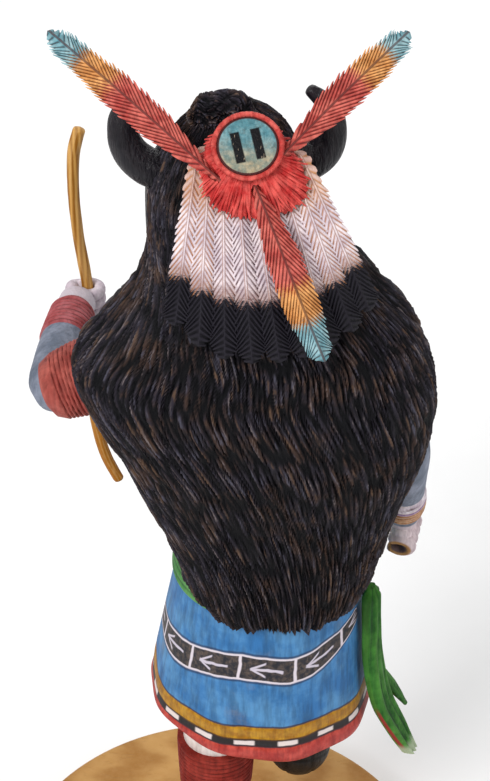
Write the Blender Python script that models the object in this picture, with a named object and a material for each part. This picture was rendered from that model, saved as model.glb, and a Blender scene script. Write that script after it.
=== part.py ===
"""A carved and painted dancer figure with horns, feathers, a bow and a kilt, on a round wooden base.

Metres, +Z up. The origin is the centre of the base's underside. The figure faces +Y, so its back
and its mane face -Y, and its right hand is at +X.
"""

import math

import bmesh
import bpy
from mathutils import Vector

# Driving dimensions, in metres
BASE_RADIUS = 0.0715
BASE_THICKNESS = 0.015
BASE_EDGE_ROUND = 0.0025
FIGURE_HEIGHT = 0.297
GAP = 0.0003
FOOT_PEG_RADIUS = 0.0025
FOOT_PEG_LENGTH = 0.008
FOOT_PEG_ROOT = 0.004
ROSETTE_RADIUS = 0.0092
ROSETTE_RIM_WIDTH = 0.0014
ROSETTE_THICKNESS = 0.0022
ROSETTE_RECESS = 0.0004
DOWEL_RADIUS = 0.0022
DOWEL_DEPTH = 0.009
FAN_FEATHERS = 9
FAN_LENGTH = 0.0530
FAN_THICKNESS = 0.0017
FAN_OVERLAP_LIFT = 0.00076
FAN_ROOT_ABOVE = 0.0050
FAN_ROOT_LEFT = 0.0144
FAN_ROOT_RIGHT = 0.0150
FAN_TURN_LEFT = 9.5
FAN_TURN_RIGHT = 26.5
TUFT_THICKNESS = 0.0042
LONG_FEATHER_WIDTH = 0.0088
LONG_FEATHER_THICKNESS = 0.0018
QUILL_RADIUS = 0.0007
BOW_WIDTH = 0.0036
BOW_THICKNESS = 0.0031
HORN_ROOT_RADIUS = 0.0053
SASH_THICKNESS = 0.0052
SASH_WIDTH = 0.0085
SHELL_HEIGHT = 0.025
SHELL_WIDTH = 0.0205
SHELL_DEPTH = 0.0085
LOCK_DEPTH = 0.0010
SEAT_RADIUS = 0.0105
SEAT_ROOM = 0.020

# One share of the figure's height: the pose and the carving are written in these shares
SHARE = FIGURE_HEIGHT / 297.0
SOLE_LEVEL = BASE_THICKNESS + GAP


def at(x, y, h):
    """A point of the figure, in shares: x and y from the base's axis, h above the soles."""
    return Vector((x * SHARE, y * SHARE, SOLE_LEVEL + h * SHARE))


# Hair and mane: height, left edge, right edge, back, widest depth, front
MANE_STATIONS = (
    (139.2, -7.5, 43.5, -31.0, -6.0, 0.0),
    (143.5, -10.4, 46.4, -33.5, -7.0, 2.0),
    (152.0, -12.2, 48.6, -34.8, -8.0, 3.0),
    (166.0, -16.6, 51.8, -36.8, -9.0, 4.5),
    (180.0, -22.4, 56.0, -39.2, -10.0, 6.0),
    (194.0, -28.0, 60.0, -41.8, -11.0, 7.5),
    (206.0, -33.8, 61.8, -43.4, -11.0, 8.5),
    (216.0, -38.0, 61.2, -44.0, -11.0, 9.0),
    (225.0, -38.4, 58.6, -43.8, -10.0, 10.0),
    (235.0, -30.0, 54.2, -42.4, -9.0, 10.5),
    (244.0, -22.4, 46.0, -40.0, -7.0, 12.0),
    (252.0, -18.4, 38.4, -37.0, -5.0, 15.0),
    (261.0, -17.6, 29.6, -32.8, -3.0, 17.0),
    (271.0, -17.0, 26.4, -27.0, -2.0, 17.5),
    (278.5, -14.4, 23.8, -21.0, -1.0, 16.0),
    (284.5, -11.0, 21.0, -15.4, 0.0, 13.5),
    (289.0, -7.0, 17.4, -10.2, 0.5, 10.0),
    (292.0, -2.8, 12.4, -5.2, 1.0, 6.5),
)
CROWN_TOP = (4.8, 1.0, 293.4)
FRINGE_DROP = 2.3
MANE_LOCKS = 19
MANE_SWIRL = 0.0016
TOPKNOT = (3.0, -2.5, 290.6)
TOPKNOT_SIZE = (7.2, 6.2, 7.4)

# Torso, belt, kilt and mask: height, centre x, half width, back, front
TORSO_STATIONS = (
    (134.0, 14.5, 25.0, -20.0, 23.0),
    (150.0, 14.0, 25.0, -19.0, 22.5),
    (170.0, 13.0, 26.0, -18.0, 21.5),
    (190.0, 12.0, 29.0, -18.0, 22.0),
    (207.0, 11.5, 32.0, -17.0, 21.0),
    (219.0, 11.0, 31.0, -16.0, 18.5),
    (227.0, 10.0, 24.0, -13.0, 14.0),
    (240.0, 6.0, 14.0, -10.0, 12.0),
)
KILT_STATIONS = (
    (83.0, 13.5, 34.2, -29.4, 35.0),
    (90.0, 13.6, 33.8, -29.2, 34.2),
    (105.0, 14.5, 32.2, -28.7, 31.6),
    (122.0, 15.6, 30.3, -28.1, 28.8),
    (136.0, 16.4, 28.6, -27.6, 26.4),
    (143.0, 16.8, 27.8, -27.2, 25.0),
)
KILT_WALL = 3.0
KILT_RECESS = 7.0
KILT_FOLDS = 9
KILT_FOLD_DEPTH = 0.45
BELT_STATIONS = (
    (139.0, 16.6, 28.6, -27.7, 26.2),
    (140.4, 16.6, 29.7, -28.7, 27.4),
    (146.0, 16.8, 29.2, -28.4, 26.6),
    (147.5, 16.8, 28.2, -27.6, 25.6),
)
HEM_TILT = 0.11
FACE_TURN = 15.0
MASK_AXIS = (4.0, 0.0)
MASK_STATIONS = (
    (235.5, 0.0, 15.0, -12.0, 15.0),
    (239.0, 0.0, 18.6, -14.0, 20.5),
    (248.0, 0.0, 20.6, -15.0, 24.0),
    (260.0, 0.0, 21.0, -15.0, 25.4),
    (270.0, 0.0, 20.4, -15.0, 24.6),
    (277.0, 0.0, 17.6, -13.0, 21.0),
    (281.5, 0.0, 11.5, -9.0, 14.5),
)
MASK_TOP = 283.0
SNOUT_HEIGHT = 250.0

# Arms, legs and horns: routes through x, y, h with a radius
ARM_LEFT = ((-8, -1, 217, 8.8), (-28, -5, 214, 8.5), (-42, -8, 209.5, 8.0), (-43.4, 2, 208.5, 7.6),
            (-42.8, 18, 208, 6.6), (-41.6, 29, 208, 5.8), (-40.5, 36, 208, 5.4))
YARN_LEFT = ((-20, -4.5, 215, 10.4), (-33, -7, 212.5, 11.0), (-41, -8.4, 209.5, 10.0))
BAND_LEFT = ((-42.9, 16, 208, 7.4), (-42.2, 22.5, 208, 7.2), (-41.6, 29, 208, 6.8))
ARM_RIGHT = ((34, -1, 218, 8.8), (47, -5, 205, 8.2), (53.5, -7, 189, 7.4), (55.0, 0, 172, 6.6),
             (56.2, 9, 156, 5.6), (56.6, 13.5, 147, 4.9), (56.7, 15.5, 142, 4.4))
CUFF_RIGHT = ((55.7, 5.6, 161.0, 6.7), (56.0, 9.4, 155.0, 6.9), (56.3, 11.4, 151.0, 6.5))
FIST_LEFT = (-37.8, 41.0, 204.4)
FIST_RIGHT = (57.0, 17.2, 136.0)
FIST_SIZE = 0.86
LEG_LEFT = ((1, 3, 98, 12.0), (0, 2.5, 72, 11.0), (-0.5, 2, 60, 10.6), (-0.8, 0.5, 42, 9.4),
            (-1, -1, 22, 7.6), (-1, -1.5, 7, 7.4))
LEG_RIGHT = ((26, 3, 112, 12.0), (26.4, 10, 100, 12.0), (27, 15.5, 88, 11.4), (27.4, 18, 76, 10.6),
             (27.8, 19.4, 62, 9.6), (28, 20, 53, 7.8), (28, 20, 48, 7.4))
GARTER_LEFT = (46.0, 64.5)
GARTER_RIGHT = (66.0, 77.0)
GARTER_SWELL = 2.0
GARTER_ROWS = 4
GARTER_SIDES = 18
SHOE_STATIONS = ((-13.0, 4.5, 6.0), (-10.0, 7.2, 11.0), (-2.0, 8.4, 14.0), (8.0, 8.2, 12.0),
                 (18.0, 9.2, 9.0), (26.0, 8.4, 7.4), (31.5, 5.0, 5.4))
# Each boot: x and y of its ankle, its turn outwards, its sole's height and the dip of its toe
SHOE_LEFT = (-1.0, 0.0, 8.0, 0.0, 0.0)
SHOE_RIGHT = (28.0, 20.0, -8.0, 40.0, 14.0)
PEGS_ALONG = (-4.0, 16.0)
HORN_LEFT = ((-12.5, -2.0, 273.6, 1.0), (-17.0, -2.0, 275.6, 0.98), (-20.9, -1.5, 279.2, 0.92),
             (-22.9, -1.0, 284.6, 0.80), (-22.4, -0.5, 290.6, 0.60), (-18.6, 0.0, 295.2, 0.34))
HORN_RIGHT = ((20.5, -2.0, 275.2, 1.0), (25.0, -2.0, 276.8, 0.98), (29.2, -1.5, 280.0, 0.92),
              (31.0, -1.0, 285.6, 0.80), (30.2, -0.5, 292.0, 0.58), (25.4, 0.0, 296.6, 0.32))
BOW_ROUTE = ((-38.0, 41, 262.2), (-39.9, 41, 254.5), (-40.4, 41, 242.0), (-39.6, 41, 226.4),
             (-37.8, 41, 210.5), (-37.2, 41, 190.0), (-37.9, 41, 168.0), (-36.9, 41, 156.6),
             (-34.6, 41, 146.4), (-31.3, 41, 138.0))

# Crown: seat on the head's back, and the way it faces
CROWN_SEAT = (9.4, -14.5, 285.0)
CROWN_TILT = 50.0
FAN_TIP_TILT = 24.0
FAN_HUG = 0.70
FAN_HUG_START = 0.33
FAN_HUG_RAMP = 0.37
FAN_LEVEL = 2.0 * GAP
TUFT_LEVEL = FAN_LEVEL + FAN_THICKNESS + GAP
ROSETTE_LEVEL = TUFT_LEVEL + TUFT_THICKNESS + GAP

# Sash and shell
SASH_ROUTE = ((-8.0, 137.0, 0.0, 0.9), (-8.4, 123.0, 0.0, 1.0), (-8.2, 108.0, 0.1, 1.08),
              (-6.4, 90.0, 2.0, 1.2), (-4.0, 76.0, 6.4, 1.1), (-2.6, 65.0, 10.6, 0.55))
SASH_TAIL = ((1.4, -4.6, 100.0, 1.6), (4.9, -1.2, 89.0, 2.0), (9.3, 0.4, 79.5, 0.9))
SASH_SECTION = ((-1, 0), (-0.8, 0.8), (-0.25, 0.55), (0.3, 1.0), (0.85, 0.75), (1, 0), (0.8, -1),
                (-0.8, -1))
SHELL_CENTRE = (26.0, 1.5, 61.0)
KILT_MIDDLE = 4.0

TORSO_SIDES = 28
TUBE_SIDES = 11


def spline(points, steps):
    """Smooth curve through the points, each a tuple of any length, with steps per span."""
    rows = [tuple(float(value) for value in point) for point in points]
    rows = [rows[0]] + rows + [rows[-1]]
    curve = []
    for index in range(1, len(rows) - 2):
        before, start, end, after = rows[index - 1:index + 3]
        for step in range(steps):
            t = step / steps
            curve.append(tuple(
                0.5 * (2 * b + (c - a) * t + (2 * a - 5 * b + 4 * c - d) * t * t
                       + (3 * b - a - 3 * c + d) * t ** 3)
                for a, b, c, d in zip(before, start, end, after)))
    curve.append(rows[-2])
    return curve


def make_object(name, mesh):
    """Link a finished bmesh as a named object with its faces pointing out."""
    bmesh.ops.recalc_face_normals(mesh, faces=mesh.faces)
    data = bpy.data.meshes.new(name)
    mesh.to_mesh(data)
    mesh.free()
    item = bpy.data.objects.new(name, data)
    bpy.context.scene.collection.objects.link(item)
    return item


def skin(name, rings, first_tip=None, last_tip=None, closed=False):
    """Closed body through rings of equal count; its ends are flat or drawn to a point."""
    mesh = bmesh.new()
    loops = [[mesh.verts.new(point) for point in ring] for ring in rings]
    pairs = list(zip(loops, loops[1:]))
    if closed:
        pairs.append((loops[-1], loops[0]))
    count = len(loops[0])
    for low, high in pairs:
        for index in range(count):
            after = (index + 1) % count
            mesh.faces.new((low[index], low[after], high[after], high[index]))
    if not closed:
        for loop, tip in ((loops[0], first_tip), (loops[-1], last_tip)):
            if tip is None:
                mesh.faces.new(loop)
                continue
            pole = mesh.verts.new(tip)
            for index in range(count):
                mesh.faces.new((loop[index], loop[(index + 1) % count], pole))
    return make_object(name, mesh)


def tube(name, route, sides=TUBE_SIDES, flat=1.0, side_axis=None, extra=0.0):
    """Round-ended tube: a route of points with radii, in metres, as (x, y, z, radius)."""
    centres = [Vector(point[:3]) for point in route]
    radii = [point[3] + extra for point in route]
    tangents = []
    for index in range(len(centres)):
        low = centres[max(index - 1, 0)]
        high = centres[min(index + 1, len(centres) - 1)]
        tangents.append((high - low).normalized())
    across = side_axis or tangents[0].orthogonal()
    rings = []
    for centre, radius, tangent in zip(centres, radii, tangents):
        across = (across - tangent * across.dot(tangent)).normalized()
        other = tangent.cross(across)
        rings.append((centre, radius, across.copy(), other, tangent))
    ends = []
    for entry, sign in ((rings[0], -1.0), (rings[-1], 1.0)):
        centre, radius, side, other, tangent = entry
        ends.append((centre + tangent * sign * radius * 0.45, radius * 0.62, side, other, tangent))
    rings = [ends[0]] + rings + [ends[1]]
    loops = []
    for centre, radius, side, other, tangent in rings:
        loops.append([centre + side * radius * math.cos(math.tau * k / sides)
                      + other * radius * flat * math.sin(math.tau * k / sides)
                      for k in range(sides)])
    tips = [rings[0][0] - rings[0][4] * (radii[0] * 0.17),
            rings[-1][0] + rings[-1][4] * (radii[-1] * 0.17)]
    return skin(name, loops, tips[0], tips[1])


def figure_route(points, steps=1):
    """A limb's route in shares turned into metres, smoothed through its points."""
    return [tuple(at(*point[:3])) + (point[3] * SHARE,) for point in spline(points, steps)]


def oval(centre_x, half_width, back, front, middle, h, sides, power=0.92):
    """Level ring whose back and front depths differ, as points of the figure."""
    ring = []
    for index in range(sides):
        angle = math.tau * index / sides
        across = math.cos(angle)
        along = math.sin(angle)
        depth = front - middle if along > 0 else middle - back
        ring.append(at(centre_x + half_width * math.copysign(abs(across) ** power, across),
                       middle + depth * math.copysign(abs(along) ** power, along), h))
    return ring


def oval_body(name, stations, sides, turn=0.0, axis=(0.0, 0.0), top=None):
    """Body through oval stations, turned about an upright axis."""
    rings = []
    for h, centre_x, half_width, back, front in stations:
        ring = oval(centre_x, half_width, back, front, 0.5 * (back + front) * 0.4, h, sides)
        rings.append([turned(point, turn, axis) for point in ring])
    tip = None
    if top is not None:
        tip = turned(at(0.0, 3.0, top), turn, axis)
    return skin(name, rings, None, tip)


def turned(point, degrees, axis):
    """Turn a point about an upright axis, then move it to that axis."""
    angle = math.radians(degrees)
    x = point.x * math.cos(angle) - point.y * math.sin(angle)
    y = point.x * math.sin(angle) + point.y * math.cos(angle)
    return Vector((x + axis[0] * SHARE, y + axis[1] * SHARE, point.z))


def cylinder(name, start, end, radius, sides=24):
    """Plain round pin between two points."""
    axis = (end - start).normalized()
    side = axis.orthogonal().normalized()
    other = axis.cross(side)
    rings = [[point + radius * (side * math.cos(math.tau * k / sides)
                                + other * math.sin(math.tau * k / sides)) for k in range(sides)]
             for point in (start, end)]
    return skin(name, rings)


def ellipsoid(name, centre, radii, sides=12, rows=7):
    """Egg with its poles up and down."""
    rings = []
    for row in range(1, rows):
        lift = math.pi * row / rows - math.pi / 2
        rings.append([Vector((centre.x + radii[0] * math.cos(lift) * math.cos(math.tau * k / sides),
                              centre.y + radii[1] * math.cos(lift) * math.sin(math.tau * k / sides),
                              centre.z + radii[2] * math.sin(lift))) for k in range(sides)])
    poles = [centre - Vector((0, 0, radii[2])), centre + Vector((0, 0, radii[2]))]
    return skin(name, rings, poles[0], poles[1])


def combine(target, tool, operation):
    """Join a tool to a body or cut it away, and remove the tool."""
    step = target.modifiers.new("carve", "BOOLEAN")
    step.operation = operation
    step.solver = "EXACT"
    step.object = tool
    bpy.context.view_layer.update()
    graph = bpy.context.evaluated_depsgraph_get()
    result = bpy.data.meshes.new_from_object(target.evaluated_get(graph))
    target.modifiers.clear()
    target.data = result
    bpy.data.objects.remove(tool)
    return target


def join(target, tools):
    """Carve several bodies into one with the target."""
    for tool in tools:
        combine(target, tool, "UNION")
    return target


def finish(item, name, colour, roughness, metallic=0.0):
    """Name a piece and its mesh, give it its own paint and shade it smooth."""
    item.name = name
    item.data.name = name
    paint = bpy.data.materials.new(name + "_paint")
    paint.use_nodes = True
    shader = paint.node_tree.nodes["Principled BSDF"]
    shader.inputs["Base Color"].default_value = (*colour, 1.0)
    shader.inputs["Roughness"].default_value = roughness
    shader.inputs["Metallic"].default_value = metallic
    paint.diffuse_color = (*colour, 1.0)
    item.data.materials.clear()
    item.data.materials.append(paint)
    item.data.shade_smooth()
    item.data.set_sharp_from_angle(angle=math.radians(40.0))
    return item


# Hair and mane
def mane_ring(h, left, right, back, middle, front):
    """One level ring of the mane, with its locks as flutes down the back and the sides."""
    centre = 0.5 * (left + right)
    half_width = 0.5 * (right - left)
    points = []
    back_count = 2 * MANE_LOCKS
    front_count = 14
    shift = MANE_SWIRL * (296.0 - h)
    depth = LOCK_DEPTH / SHARE * min(1.0, max(0.0, (268.0 - h) / 20.0))
    for index in range(back_count + front_count):
        if index < back_count:
            angle = math.pi + math.pi * index / back_count + shift
            wave = depth if index % 2 else -depth
        else:
            angle = math.tau + math.pi * (index - back_count) / front_count + shift
            wave = 0.0
        across = math.cos(angle)
        along = math.sin(angle)
        reach = front - middle if along > 0 else middle - back
        x = centre + (half_width + wave) * math.copysign(abs(across) ** 0.88, across)
        y = middle + (reach + wave) * math.copysign(abs(along) ** 0.88, along)
        points.append(at(x, y, h))
    return points


def make_mane():
    """Hair from the crown down to the ragged edge over the belt."""
    rings = [mane_ring(*station) for station in MANE_STATIONS]
    for index, point in enumerate(rings[0]):
        point.z += LOCK_DEPTH * (1.2 if index % 2 else -1.2)
        lean = math.pi * index / (2 * MANE_LOCKS)
        point.z -= FRINGE_DROP * SHARE * max(0.0, math.sin(lean))
    mane = skin("mane", rings, None, at(*CROWN_TOP))
    knot = ellipsoid("topknot", at(*TOPKNOT), [size * SHARE for size in TOPKNOT_SIZE])
    return join(mane, [knot])


# Kilt
def kilt_ring(h, centre, half_width, back, front, inset=0.0):
    """Ring of the kilt with soft folds that deepen towards the hem."""
    sides = 42
    flare = (143.0 - h) / 60.0
    ring = []
    for index in range(sides):
        angle = math.tau * index / sides
        fold = KILT_FOLD_DEPTH * flare * math.sin(KILT_FOLDS * angle + 0.6)
        across = math.cos(angle)
        along = math.sin(angle)
        depth = front - KILT_MIDDLE if along > 0 else KILT_MIDDLE - back
        x = centre + (half_width + fold - inset) * across
        y = KILT_MIDDLE + (depth + fold - inset) * along
        ring.append(at(x, y, h + HEM_TILT * flare * (centre - x)))
    return ring


def make_kilt():
    """Wrapped kilt, hollowed a little from below so that its hem reads as cloth."""
    hem = KILT_STATIONS[0]
    inner_low = kilt_ring(*hem, inset=KILT_WALL)
    inner_high = kilt_ring(hem[0] + KILT_RECESS, *hem[1:], inset=KILT_WALL + 1.0)
    rings = [inner_high, inner_low] + [kilt_ring(*station) for station in KILT_STATIONS]
    return skin("kilt", rings)


# Hands
FINGER_START = -46.0
FINGER_STEP = 54.0
FINGER_STAGGER = 5.0


def fist(name, centre, grip_axis, wrist_way, size):
    """Closed hand: four fingers curled round a grip, a palm and a thumb."""
    side = grip_axis.cross(wrist_way).normalized()
    finger = 2.3 * SHARE * size
    curl = 4.0 * SHARE * size
    pitch = 3.5 * SHARE * size
    body = None
    for number in range(4):
        middle = centre + grip_axis * (number - 1.5) * pitch
        route = []
        for step in range(6):
            angle = math.radians(FINGER_START + FINGER_STEP * step + FINGER_STAGGER * number)
            route.append(tuple(middle + curl * (wrist_way * math.cos(angle)
                                                + side * math.sin(angle))) + (finger,))
        digit = tube(name + "_finger", route, sides=6, side_axis=grip_axis.copy())
        body = digit if body is None else combine(body, digit, "UNION")
    palm = [tuple(centre + wrist_way * (curl + 1.6 * SHARE) + grip_axis * offset * pitch)
            + (3.6 * SHARE * size,) for offset in (-1.2, 0.0, 1.2)]
    thumb = [tuple(centre + wrist_way * curl * a + side * curl * b + grip_axis * pitch * c)
             + (2.2 * SHARE * size,) for a, b, c in ((1.2, -0.6, 1.4), (0.5, -1.3, 1.7),
                                                     (-0.4, -1.35, 1.5), (-1.0, -0.8, 1.2))]
    return join(body, [tube(name + "_palm", palm, sides=8, side_axis=side.copy()),
                       tube(name + "_thumb", thumb, sides=6)])


def make_left_hand():
    """Left fist round the bow's stave."""
    wrist_way = Vector((-0.2, -0.98, 0.0)).normalized()
    return fist("hand_left", at(*FIST_LEFT), Vector((0, 0, 1)), wrist_way, FIST_SIZE)


def make_right_hand():
    """Right fist, empty, with its grip seen from behind."""
    wrist_way = Vector((0.05, -0.35, 0.93)).normalized()
    grip_axis = Vector((0.25, 0.92, 0.33))
    grip_axis = (grip_axis - wrist_way * grip_axis.dot(wrist_way)).normalized()
    return fist("hand_right", at(*FIST_RIGHT), grip_axis, wrist_way, FIST_SIZE)


# Legs and feet
def leg_at(leg, h):
    """Centre and radius of a leg at a height."""
    route = spline(leg, 8)
    for high, low in zip(route, route[1:]):
        if low[2] <= h <= high[2]:
            mix = (h - low[2]) / (high[2] - low[2])
            return [a + mix * (b - a) for a, b in zip(low, high)]
    return route[-1]


def make_garter(name, leg, span, extra=0.0):
    """Yarn wound round the leg below the knee, with flat ends."""
    low = span[0] - extra / SHARE
    high = span[1] + extra / SHARE
    rings = []
    for step in range(GARTER_ROWS + 1):
        x, y, h, radius = leg_at(leg, low + (high - low) * step / GARTER_ROWS)
        reach = radius + GARTER_SWELL + extra / SHARE
        rings.append([at(x + reach * math.cos(math.tau * k / GARTER_SIDES),
                         y + reach * math.sin(math.tau * k / GARTER_SIDES), h)
                      for k in range(GARTER_SIDES)])
    return skin(name, rings)


def make_shoe(name, x, y, turn, lift, dip):
    """Soft low boot: a loft of arched sections from the heel to the toe."""
    lean = math.radians(dip)
    rings = []
    for along, half_width, height in SHOE_STATIONS:
        ring = []
        for index in range(10):
            angle = math.tau * index / 10
            rise = height * 0.5 * (1.0 + math.sin(angle))
            ring.append(at(half_width * math.cos(angle),
                           along * math.cos(lean) + rise * math.sin(lean),
                           lift - along * math.sin(lean) + rise * math.cos(lean)))
        rings.append([turned(point, turn, (x, y)) for point in ring])
    return skin(name, rings)


def peg_ends(along, extra=0.0):
    """Both ends of a dowel under the standing foot, down into the base."""
    centre = turned(at(0.0, along, 0.0), SHOE_LEFT[2], SHOE_LEFT[:2])
    return (Vector((centre.x, centre.y, BASE_THICKNESS - FOOT_PEG_LENGTH - extra)),
            Vector((centre.x, centre.y, SOLE_LEVEL + FOOT_PEG_ROOT)))


# Crown frame and fan surface
def crown_point(u, v, lift):
    """Point over the crown's seat: u to the right, v down the back, lift outwards, in metres."""
    tilt = math.radians(CROWN_TILT)
    down = Vector((0.0, -math.sin(tilt), -math.cos(tilt)))
    out = Vector((0.0, -math.cos(tilt), math.sin(tilt)))
    return at(*CROWN_SEAT) + Vector((u, 0, 0)) + down * v + out * lift


def fan_point(u, v, lift):
    """Point over the fan's surface, which bends down the back and falls away to both sides."""
    start = math.radians(90.0 - CROWN_TILT)
    sweep = math.radians(CROWN_TILT - FAN_TIP_TILT)
    radius = FAN_LENGTH / sweep
    slope = start + v / radius
    along = Vector((0.0, -(math.sin(slope) - math.sin(start)), math.cos(slope) - math.cos(start)))
    out = Vector((0.0, -math.sin(slope), math.cos(slope)))
    ramp = min(1.0, max(0.0, (v / FAN_LENGTH - FAN_HUG_START) / FAN_HUG_RAMP))
    drop = FAN_HUG * ramp * u * u / FAN_LENGTH
    return at(*CROWN_SEAT) + Vector((u, 0, 0)) + along * radius + out * (lift - drop)


# Across one fan feather: side, share of the thickness, share of the overlap's lift
FEATHER_COLUMNS = ((-1.0, 0.35, 0.0), (-0.5, 0.85, 1.0), (0.0, 1.0, 1.0), (0.5, 0.85, 1.0))
FEATHER_EDGE = (1.0, 0.35, 0.0)
# Along the fan from its root: share of the length, share of the thickness
FAN_ROWS = ((0.02, 0.90), (0.22, 1.0), (0.46, 1.0), (0.70, 1.0), (0.86, 0.90), (0.95, 0.75),
            (1.0, 0.50))
# Above the dowel the fan is thinner and narrower
FAN_ROOT_ROW = (0.80, 0.60)
FAN_SHORTER = 0.235
FAN_ROUNDING = 2.6
FAN_NOTCH = 0.14


def fan_column(number, side, level, raised):
    """Section of the fan along one line from its root to its tip, closed along its underside."""
    share = (number + 0.5 + 0.5 * side) / FAN_FEATHERS
    root = -FAN_ROOT_LEFT + (FAN_ROOT_LEFT + FAN_ROOT_RIGHT) * share
    angle = math.radians(-FAN_TURN_LEFT + (FAN_TURN_LEFT + FAN_TURN_RIGHT) * share)
    length = FAN_LENGTH * (1.0 - FAN_SHORTER * abs(2.0 * share - 1.0) ** FAN_ROUNDING)
    length *= 1.0 - FAN_NOTCH * side * side
    top = level * 0.5 * FAN_THICKNESS + raised * FAN_OVERLAP_LIFT * (number % 2)
    thin, narrow = FAN_ROOT_ROW
    over = [fan_point(root * narrow, -FAN_ROOT_ABOVE, FAN_LEVEL + top * thin)]
    under = [fan_point(root * narrow, -FAN_ROOT_ABOVE, FAN_LEVEL)]
    for span, thick in FAN_ROWS:
        u = root + span * length * math.sin(angle)
        v = span * length * math.cos(angle)
        over.append(fan_point(u, v, FAN_LEVEL + top * thick))
        under.append(fan_point(u, v, FAN_LEVEL))
    return over + under[::-1]


def make_fan():
    """Nine feathers side by side, carved as one from a broad root, with the dowel's hole."""
    columns = [fan_column(number, *column) for number in range(FAN_FEATHERS)
               for column in FEATHER_COLUMNS]
    columns.append(fan_column(FAN_FEATHERS - 1, *FEATHER_EDGE))
    fan = skin("fan", columns)
    hole = cylinder("hole", crown_point(0, 0, -FAN_THICKNESS),
                    crown_point(0, 0, FAN_LEVEL + 2 * FAN_THICKNESS), DOWEL_RADIUS + GAP)
    return combine(fan, hole, "DIFFERENCE")


# Red tuft, in rosette radii: shortest strands, extra down the back and extra to the right
TUFT_STRANDS = 22
TUFT_SHORT = 1.065
TUFT_DOWN = 0.826
TUFT_RIGHT = 0.457
TUFT_RIGHT_AT = 52.0
TUFT_RAGGED = 0.098
TUFT_LIP = 0.0004


def tuft_reach(angle):
    """Length of the red strands round the rosette; angle 0 points down the back."""
    down = 0.5 + 0.5 * math.cos(angle)
    side = math.exp(-((angle - math.radians(TUFT_RIGHT_AT)) / 0.45) ** 2)
    return ROSETTE_RADIUS * (TUFT_SHORT + TUFT_DOWN * down ** 1.6 + TUFT_RIGHT * side)


def make_tuft():
    """Ring of red strands, thick under the rosette and thin at its ragged edge."""
    sections = []
    for index in range(2 * TUFT_STRANDS):
        angle = math.tau * index / (2 * TUFT_STRANDS)
        if angle > math.pi:
            angle -= math.tau
        ragged = TUFT_RAGGED * ROSETTE_RADIUS
        reach = tuft_reach(angle) + (ragged if index % 2 else -ragged)
        ridge = 1.0 if index % 2 else 0.86
        hole = DOWEL_RADIUS + GAP
        rim = ROSETTE_RADIUS * 0.98
        profile = ((hole, 0.0), (0.6 * reach, 0.0), (reach, 0.0), (reach, TUFT_LIP),
                   (0.5 * (rim + reach), 0.55 * ridge * TUFT_THICKNESS),
                   (rim, ridge * TUFT_THICKNESS), (hole, TUFT_THICKNESS))
        section = []
        for radius, level in profile:
            u = radius * math.sin(angle)
            v = radius * math.cos(angle)
            section.append(fan_point(u, v, TUFT_LEVEL + level))
        sections.append(section)
    return skin("tuft", sections, closed=True)


# Long feathers
def long_feather(name, route, width, facing, extra=0.0):
    """Long feather with a round quill, a ridged blade and a pointed tip."""
    centres = [Vector(point[:3]) for point in route]
    rings = []
    for index, centre in enumerate(centres):
        low = centres[max(index - 1, 0)]
        high = centres[min(index + 1, len(centres) - 1)]
        along = (high - low).normalized()
        side = along.cross(facing).normalized()
        out = side.cross(along)
        half = 0.5 * width * route[index][3] + QUILL_RADIUS + extra
        thick = min(0.5 * LONG_FEATHER_THICKNESS, half) + extra
        ring = []
        for across, level in ((-1, 0), (-0.55, 0.6), (0, 1), (0.55, 0.6), (1, 0), (0.4, -0.6),
                              (-0.4, -0.6)):
            ring.append(centre + side * half * across + out * thick * level)
        rings.append(ring)
    start = centres[0] - (centres[1] - centres[0]).normalized() * (0.0004 + extra)
    end = centres[-1] + (centres[-1] - centres[-2]).normalized() * (0.0012 + extra)
    return skin(name, rings, start, end)


def feather_route(quill, root, tip, bow_out, place):
    """Points from the quill's end to the tip, with the blade's share of width at each."""
    shares = ((0.0, 0.0), (0.07, 0.05), (0.16, 0.55), (0.28, 0.96), (0.45, 1.0), (0.65, 0.84),
              (0.84, 0.62), (0.95, 0.38), (1.0, 0.1))
    points = []
    for share, width in shares:
        if share < 0.16:
            mix = share / 0.16
            u, v, lift = [a + (b - a) * mix for a, b in zip(quill, root)]
        else:
            mix = (share - 0.16) / 0.84
            u, v, lift = [a + (b - a) * mix for a, b in zip(root, tip)]
            lift += bow_out * math.sin(math.pi * mix)
        points.append(tuple(place(u, v, lift)) + (width,))
    return points


LONG_FEATHERS = {
    "feather_left": ((-0.0062, 0.0082, 0.0042), (-0.0115, 0.0042, 0.0062),
                     (-0.0498, -0.0292, 0.0115), 0.0008, crown_point),
    "feather_right": ((0.0070, 0.0030, 0.0044), (0.0122, -0.0020, 0.0062),
                      (0.0403, -0.0292, 0.0110), 0.0008, crown_point),
    "feather_down": ((0.0010, 0.0068, 0.0042), (0.0030, 0.0120, 0.0066),
                     (0.0192, 0.0515, 0.0048), 0.0004, fan_point),
}


def make_long_feather(name, extra=0.0):
    """One of the three long feathers, or a swollen copy of it that cuts its seat."""
    quill, root, tip, bow_out, place = LONG_FEATHERS[name]
    facing = (place(root[0], root[1], 0.01) - place(root[0], root[1], 0.0)).normalized()
    route = feather_route(quill, root, tip, bow_out, place)
    return long_feather(name, route, LONG_FEATHER_WIDTH - 2 * QUILL_RADIUS, facing, extra)


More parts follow.
